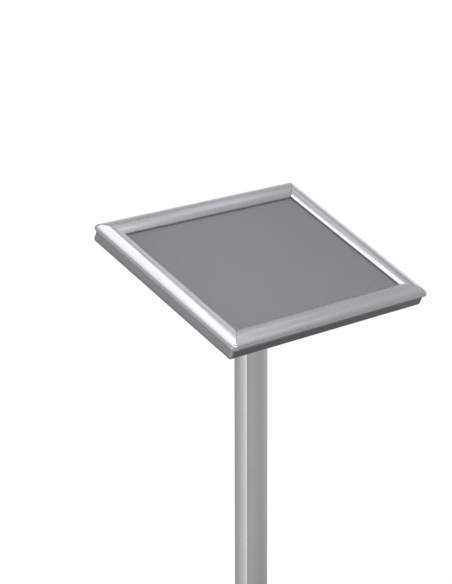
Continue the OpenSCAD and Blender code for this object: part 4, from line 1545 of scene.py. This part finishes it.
@dataclass
class PoleAndBase:
    """The bowed aluminium pole with its screw ports, the coated base plate, the floor pads and the long
    screws."""

    width: float = 35 * MM
    depth: float = 20 * MM
    face_bow: float = 2.2 * MM
    side_bow: float = 1 * MM
    wall: float = 1.8 * MM
    port_radius: float = 2.75 * MM
    port_wall: float = 1.5 * MM
    port_web: float = 1.6 * MM
    port_at: float = 13.35 * MM
    base_corner: float = 40 * MM
    pad_radius: float = 11 * MM
    screw_radius: float = 3 * MM
    hole_radius: float = 3.2 * MM
    sink_radius: float = 6.2 * MM
    sink_depth: float = 3.2 * MM
    head: tuple[float, float] = (5 * MM, 6 * MM)
    socket: float = 5 * MM

    def faces(self, inner: float) -> tuple[Array, float, Array, float, Array]:
        """The arcs of the section at a depth under its skin.

        An arc with chord c and rise r has the radius (c^2 / 4 + r^2) / (2 r); the inner faces share its
        centre.

        Args:
            inner: Depth under the skin.

        Returns:
            Centre and radius of the far wide face, centre and radius of the right face, and the ridge between
            them.
        """
        def radius(chord: float, rise: float) -> float:
            """Radius of an arc from its chord and rise."""
            return (chord ** 2 / 4 + rise ** 2) / (2 * rise)

        face, side = radius(self.width, self.face_bow), radius(self.depth, self.side_bow)
        face_at = np.array([0.0, self.depth / 2 + self.face_bow - face])
        side_at = np.array([self.width / 2 + self.side_bow - side, 0.0])
        ridge = circles_meet(side_at, side - inner, face_at, face - inner)
        return face_at, face - inner, side_at, side - inner, ridge

    def section(self, inner: float) -> Array:
        """The outline at a depth under the skin: four bowed faces that meet in ridges."""
        face_at, face, side_at, side, ridge = self.faces(inner)
        lift, lean = bearing(ridge - side_at), bearing(ridge - face_at)
        right = arc(side_at, side, -lift, lift, 10)[:-1]
        back = arc(face_at, face, lean, 180 - lean, 28)[:-1]
        return np.concatenate((right, back, -right, -back))

    def hollows(self) -> list[Array]:
        """The section's hollows: two screw ports, the middle, and four small ones outside the ports' webs."""
        face_at, face, side_at, side, ridge = self.faces(self.wall)
        port, around = np.array([self.port_at, 0.0]), self.port_radius + self.port_wall
        web = self.port_web / 2
        touch = math.degrees(math.acos(web / around))

        def face_point(x: float) -> Array:
            """The point of the wide face's inside at a given x."""
            return np.array([x, face_at[1] + math.sqrt(face ** 2 - x ** 2)])

        inner_edge, outer_edge = face_point(self.port_at - web), face_point(self.port_at + web)
        top = arc(face_at, face, bearing(inner_edge - face_at), 180 - bearing(inner_edge - face_at), 20)
        bulge = arc(port, around, 180 + touch, 180 - touch, 16)
        middle = np.concatenate((bulge, top, -bulge, -top))
        meet = circles_meet(side_at, side, port, around)
        meet = np.array([meet[0], abs(meet[1])])
        pocket = np.concatenate((
            arc(port, around, touch, bearing(meet - port), 8),
            arc(side_at, side, bearing(meet - side_at), bearing(ridge - side_at), 6)[1:],
            arc(face_at, face, bearing(ridge - face_at), bearing(outer_edge - face_at), 5)[1:],
        ))
        pockets = [pocket * way for way in ((1, 1), (-1, 1), (1, -1), (-1, -1))]
        return [middle, *pockets, circle(self.port_radius, 24, port), circle(self.port_radius, 24, -port)]

    def build(self) -> None:
        """Builds the pole, the base and their screws."""
        low, high = reach("pole", STAND)
        pole = Solid("pole", STAND)
        pole.plate(soften(self.section(0.0), 0.7 * MM), low[2], high[2], self.hollows(),
                   0.15 * MM, 0.15 * MM, 2)
        finish_piece(pole, "stand", "anodised_pole", Finishes.POLE, "pole")
        self.build_base()
        self.build_screws()

    def build_base(self) -> None:
        """Builds the base plate with its countersunk holes, and the four floor pads."""
        low, high = reach("base_plate", STAND)
        outline = rounded(rectangle(low[:2], high[:2]), self.base_corner, 24)
        sink = [(self.sink_radius, low[2]), (self.hole_radius, low[2] + self.sink_depth),
                (self.hole_radius, high[2])]
        holes = [np.stack([np.column_stack((circle(r, 24, (x, 0)), np.full(24, z))) for r, z in sink])
                 for x in (-self.port_at, self.port_at)]
        plate = Solid("base_plate", STAND)
        plate.prism(outline, low[2], high[2], holes, round_low=0.4 * MM, round_high=1.0 * MM, steps=5)
        finish_piece(plate, "stand", "coated_steel", Finishes.BASE, "base_plate")
        low, high = reach("floor_pads", STAND)
        pads = Solid("floor_pads", STAND)
        ribs = [(0.0, 0.35), (2.0, 0.35), (2.3, 0.0), (4.2, 0.0), (4.5, 0.35), (6.0, 0.35), (6.3, 0.0),
                (9.6, 0.0), (10.6, 0.7), (11.0, 1.8), (11.0, 2.5), (0.0, 2.5)]
        rows = [(r * MM, low[2] + z * MM) for r, z in ribs]
        for x in (low[0] + self.pad_radius, high[0] - self.pad_radius):
            for y in (low[1] + self.pad_radius, high[1] - self.pad_radius):
                pads.axes = STAND.moved(x, y)
                pads.turned(rows)
        finish_piece(pads, "stand", "pad_rubber", Finishes.RUBBER, "floor_pads")

    def build_screws(self) -> None:
        """Builds the countersunk base screws and the cylinder-head head screws, both with hexagon sockets."""
        key = hexagon_radius(self.socket, 48)
        base, head = Solid("base_screws", STAND), Solid("head_screws", STAND)
        low, high = reach("base_screws", STAND)
        shank = self.port_radius - 0.06 * MM
        for x in (-self.port_at, self.port_at):
            base.axes = STAND.moved(x)
            base.turned([(0.0, low[2] + 2 * MM), (key, low[2] + 2 * MM), (key, low[2]), (5.9 * MM, low[2]),
                         (6 * MM, low[2] + 0.1 * MM), (self.screw_radius, low[2] + self.sink_depth),
                         (self.screw_radius, low[2] + 5.8 * MM), (shank, low[2] + 5.9 * MM),
                         (shank, high[2] - 1 * MM), (shank - 0.8 * MM, high[2]), (0.0, high[2])])
        finish_piece(base, "stand", "plated_steel", Finishes.PLATED, "base_screws")
        low, high = reach("head_screws", STAND)
        wide, seat = self.head[0], high[2] - self.head[1]
        for x in (-self.port_at, self.port_at):
            head.axes = STAND.moved(x)
            head.turned([(0.0, high[2] - 3 * MM), (key, high[2] - 3 * MM), (key, high[2]),
                         (wide - 0.5 * MM, high[2]), (wide, high[2] - 0.5 * MM), (wide, seat + 0.2 * MM),
                         (wide - 0.2 * MM, seat), (self.screw_radius, seat),
                         (self.screw_radius, seat - 3.9 * MM), (shank, seat - 4 * MM),
                         (shank, low[2] + 1 * MM), (shank - 0.8 * MM, low[2]), (0.0, low[2])])
        finish_piece(head, "stand", "plated_steel", Finishes.PLATED, "head_screws")


# ---------------------------------------------------------------- the studio

@dataclass
class Studio:
    """A pale floor, a plain sky with lighter and darker cards for gloss to see, near softboxes and the
    camera.

    Each card is an azimuth and elevation in degrees with a strength. Each lamp is its lowest and highest x
    and y from the target with the brightness of its face. The target lies at the offset from the camera,
    counted to the right, down and forward, in metres. The cards and lamps, with their strengths, weren't set
    by hand: a separate program found them with a least-squares fit.
    """

    target: Array
    heading: float = 46.07
    pitch: float = 14.38
    roll: float = 0.2
    lens: float = 132.7
    sensor: float = 36.0
    offset: tuple[float, float, float] = (0.0443, -0.0370, 2.4436)
    floor_radius: float = 1.5
    plain_level: float = 0.75
    gloss_level: float = 0.30
    card_power: float = 12.0
    lamp_height: float = 0.45
    spot: tuple[float, float, float] = (1.15, -0.45, 0.0)
    spot_edge: tuple[float, float] = (0.6, 0.85)
    floor_levels: tuple[float, float] = (0.19, 0.5)
    seen_floor: float = 0.78
    floor_glow: float = 0.5
    cards: tuple[tuple[float, float, float], ...] = (
        (-10, 10, 0.906), (-35, 10, -0.12), (-35, 35, -0.12), (-60, -15, 0.192), (-60, 10, -0.12),
        (0, 65, 0.185), (140, -15, 0.184), (15, 10, 0.737), (15, 35, -0.12), (180, -15, 1.195),
        (180, 65, 0.67), (40, 35, -0.114), (65, 10, 0.529))
    lamps: tuple[tuple[float, float, float, float, float], ...] = (
        (-0.225, 0.06, -0.65, -0.28, 3.60), (-0.225, 0.06, -0.28, 0.0, 0.952),
        (-0.225, 0.06, 0.0, 0.35, 0.729), (0.06, 0.14, 0.0, 0.35, 1.546), (0.14, 0.23, -0.28, 0.0, 1.434),
        (0.34, 0.50, -0.65, -0.28, 0.524), (0.34, 0.50, 0.0, 0.35, 0.362))

    def background(self, graph: Graph) -> Socket:
        """One where the ray comes from the camera, from gloss or through a clear piece, and nought
        elsewhere."""
        path = graph.add("LightPath").outputs
        seen = graph.math("ADD", path["Is Camera Ray"], path["Is Glossy Ray"])
        return graph.math("ADD", seen, path["Is Transmission Ray"])

    def build_world(self) -> None:
        """Builds the sky. What gloss sees is one level plus lobes, each a strength times a power of the
        cosine between the ray and the card's middle."""
        world = bpy.data.worlds.new("studio")
        bpy.context.scene.world = world
        world.use_nodes = True
        world.node_tree.nodes.clear()
        graph = Graph(world.node_tree)
        ray = graph.add("TexCoord").outputs["Generated"]
        level = self.gloss_level
        for azimuth, elevation, strength in self.cards:
            a, e = math.radians(azimuth), math.radians(elevation)
            middle = (math.cos(a) * math.cos(e), math.sin(a) * math.cos(e), math.sin(e))
            cosine = graph.math("MAXIMUM", graph.vector("DOT_PRODUCT", ray, middle), 0.0)
            level = graph.math("MULTIPLY_ADD", graph.math("POWER", cosine, self.card_power), strength, level)
        level = graph.math("MINIMUM", graph.math("MAXIMUM", level, 0.0), 1.0)
        path = graph.add("LightPath").outputs
        seen = self.background(graph)
        shown = graph.blend(path["Is Camera Ray"], graph.grey(level), WHITE)
        plain = (self.plain_level,) * 3 + (1.0,)
        sky = graph.add("Background", {"Color": graph.blend(seen, plain, shown), "Strength": 1.0})
        graph.add("OutputWorld", {0: sky.outputs[0]})

    def build_floor(self) -> None:
        """Builds the pale floor: a disc that keeps the stand's shadow. Other rays than the camera's see it at
        a plain level, and darker within a spot that the front of the frame faces."""
        floor = Solid("floor", STAND)
        rim = circle(self.floor_radius, 96)
        floor.cap([np.column_stack((rim, np.zeros(len(rim))))], [rim])
        piece = floor.build()
        material = bpy.data.materials.new("floor")
        material.use_nodes = True
        material.node_tree.nodes.clear()
        graph = Graph(material.node_tree)
        path = graph.add("LightPath").outputs
        level = graph.ramp(graph.vector("DISTANCE", graph.place, self.spot), *self.spot_edge,
                           *self.floor_levels)
        pale = graph.blend(path["Is Camera Ray"], graph.grey(level), (self.seen_floor,) * 3 + (1.0,))
        glow = graph.math("MULTIPLY", path["Is Camera Ray"], self.floor_glow)
        shine = graph.add("Emission", {"Color": WHITE, "Strength": glow})
        matt = graph.add("BsdfDiffuse", {"Color": pale})
        both = graph.add("AddShader", {0: shine.outputs[0], 1: matt.outputs[0]})
        graph.add("OutputMaterial", {0: both.outputs[0]})
        piece.data.materials.append(material)

    def softbox(self, name: str, place: Sequence[float], towards: Sequence[float], size: tuple[float, float],
                radiance: float) -> None:
        """Adds a rectangular lamp.

        Args:
            name: The lamp's name.
            place: Where its middle is.
            towards: The point that it faces.
            size: Its width and height.
            radiance: How bright its face is, where 1 is white.
        """
        lamp = bpy.data.lights.new(name, "AREA")
        lamp.shape, (lamp.size, lamp.size_y) = "RECTANGLE", size
        lamp.energy = radiance * size[0] * size[1] * math.pi
        light = bpy.data.objects.new(name, lamp)
        light.location = place
        light.rotation_euler = (Vector(towards) - Vector(place)).to_track_quat("-Z", "Y").to_euler()
        light.visible_camera = False
        bpy.context.scene.collection.objects.link(light)

    def build_camera(self) -> None:
        """Sets up the camera: it looks along the heading and down by the pitch, with a slight roll."""
        yaw, pitch, roll = (math.radians(a) for a in (self.heading, self.pitch, self.roll))
        forward = np.array([math.sin(yaw) * math.cos(pitch), math.cos(yaw) * math.cos(pitch),
                            -math.sin(pitch)])
        right = np.array([math.cos(yaw), -math.sin(yaw), 0.0])
        down = np.cross(forward, right)
        right, down = (math.cos(roll) * right + math.sin(roll) * down,
                       math.cos(roll) * down - math.sin(roll) * right)
        place = self.target - (self.offset[0] * right + self.offset[1] * down + self.offset[2] * forward)
        data = bpy.data.cameras.new("camera")
        data.lens, data.sensor_width, data.sensor_fit = self.lens, self.sensor, "AUTO"
        camera = bpy.data.objects.new("camera", data)
        camera.location = place
        camera.rotation_euler = Matrix(np.column_stack((right, -down, -forward)).tolist()).to_euler()
        bpy.context.scene.collection.objects.link(camera)
        bpy.context.scene.camera = camera

    def build(self) -> None:
        """Builds the whole studio."""
        self.build_world()
        self.build_floor()
        x, y, z = self.target
        for left, right, near, far, radiance in self.lamps:
            place = (x + (left + right) / 2, y + (near + far) / 2, z + self.lamp_height)
            self.softbox("near softbox", place, (place[0], place[1], z), (right - left, far - near), radiance)
        self.build_camera()
        bpy.context.scene.view_settings.view_transform = "Standard"


def main() -> None:
    """Builds the stand in order."""
    logging.basicConfig(level=logging.INFO, format="%(message)s")
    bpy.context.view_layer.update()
    snap = SnapFrame()
    pole = PoleAndBase()
    snap.build()
    DisplaySheets(snap).build()
    TiltHead(snap).build(pole)
    pole.build()
    keys = frame["nodes"]["corner_keys"]
    keys.data.materials.clear()
    keys.data.materials.append(Finishes.ZINC_CAST.material())
    Studio(snap.axes.origin).build()


if __name__ == "__main__":
    main()
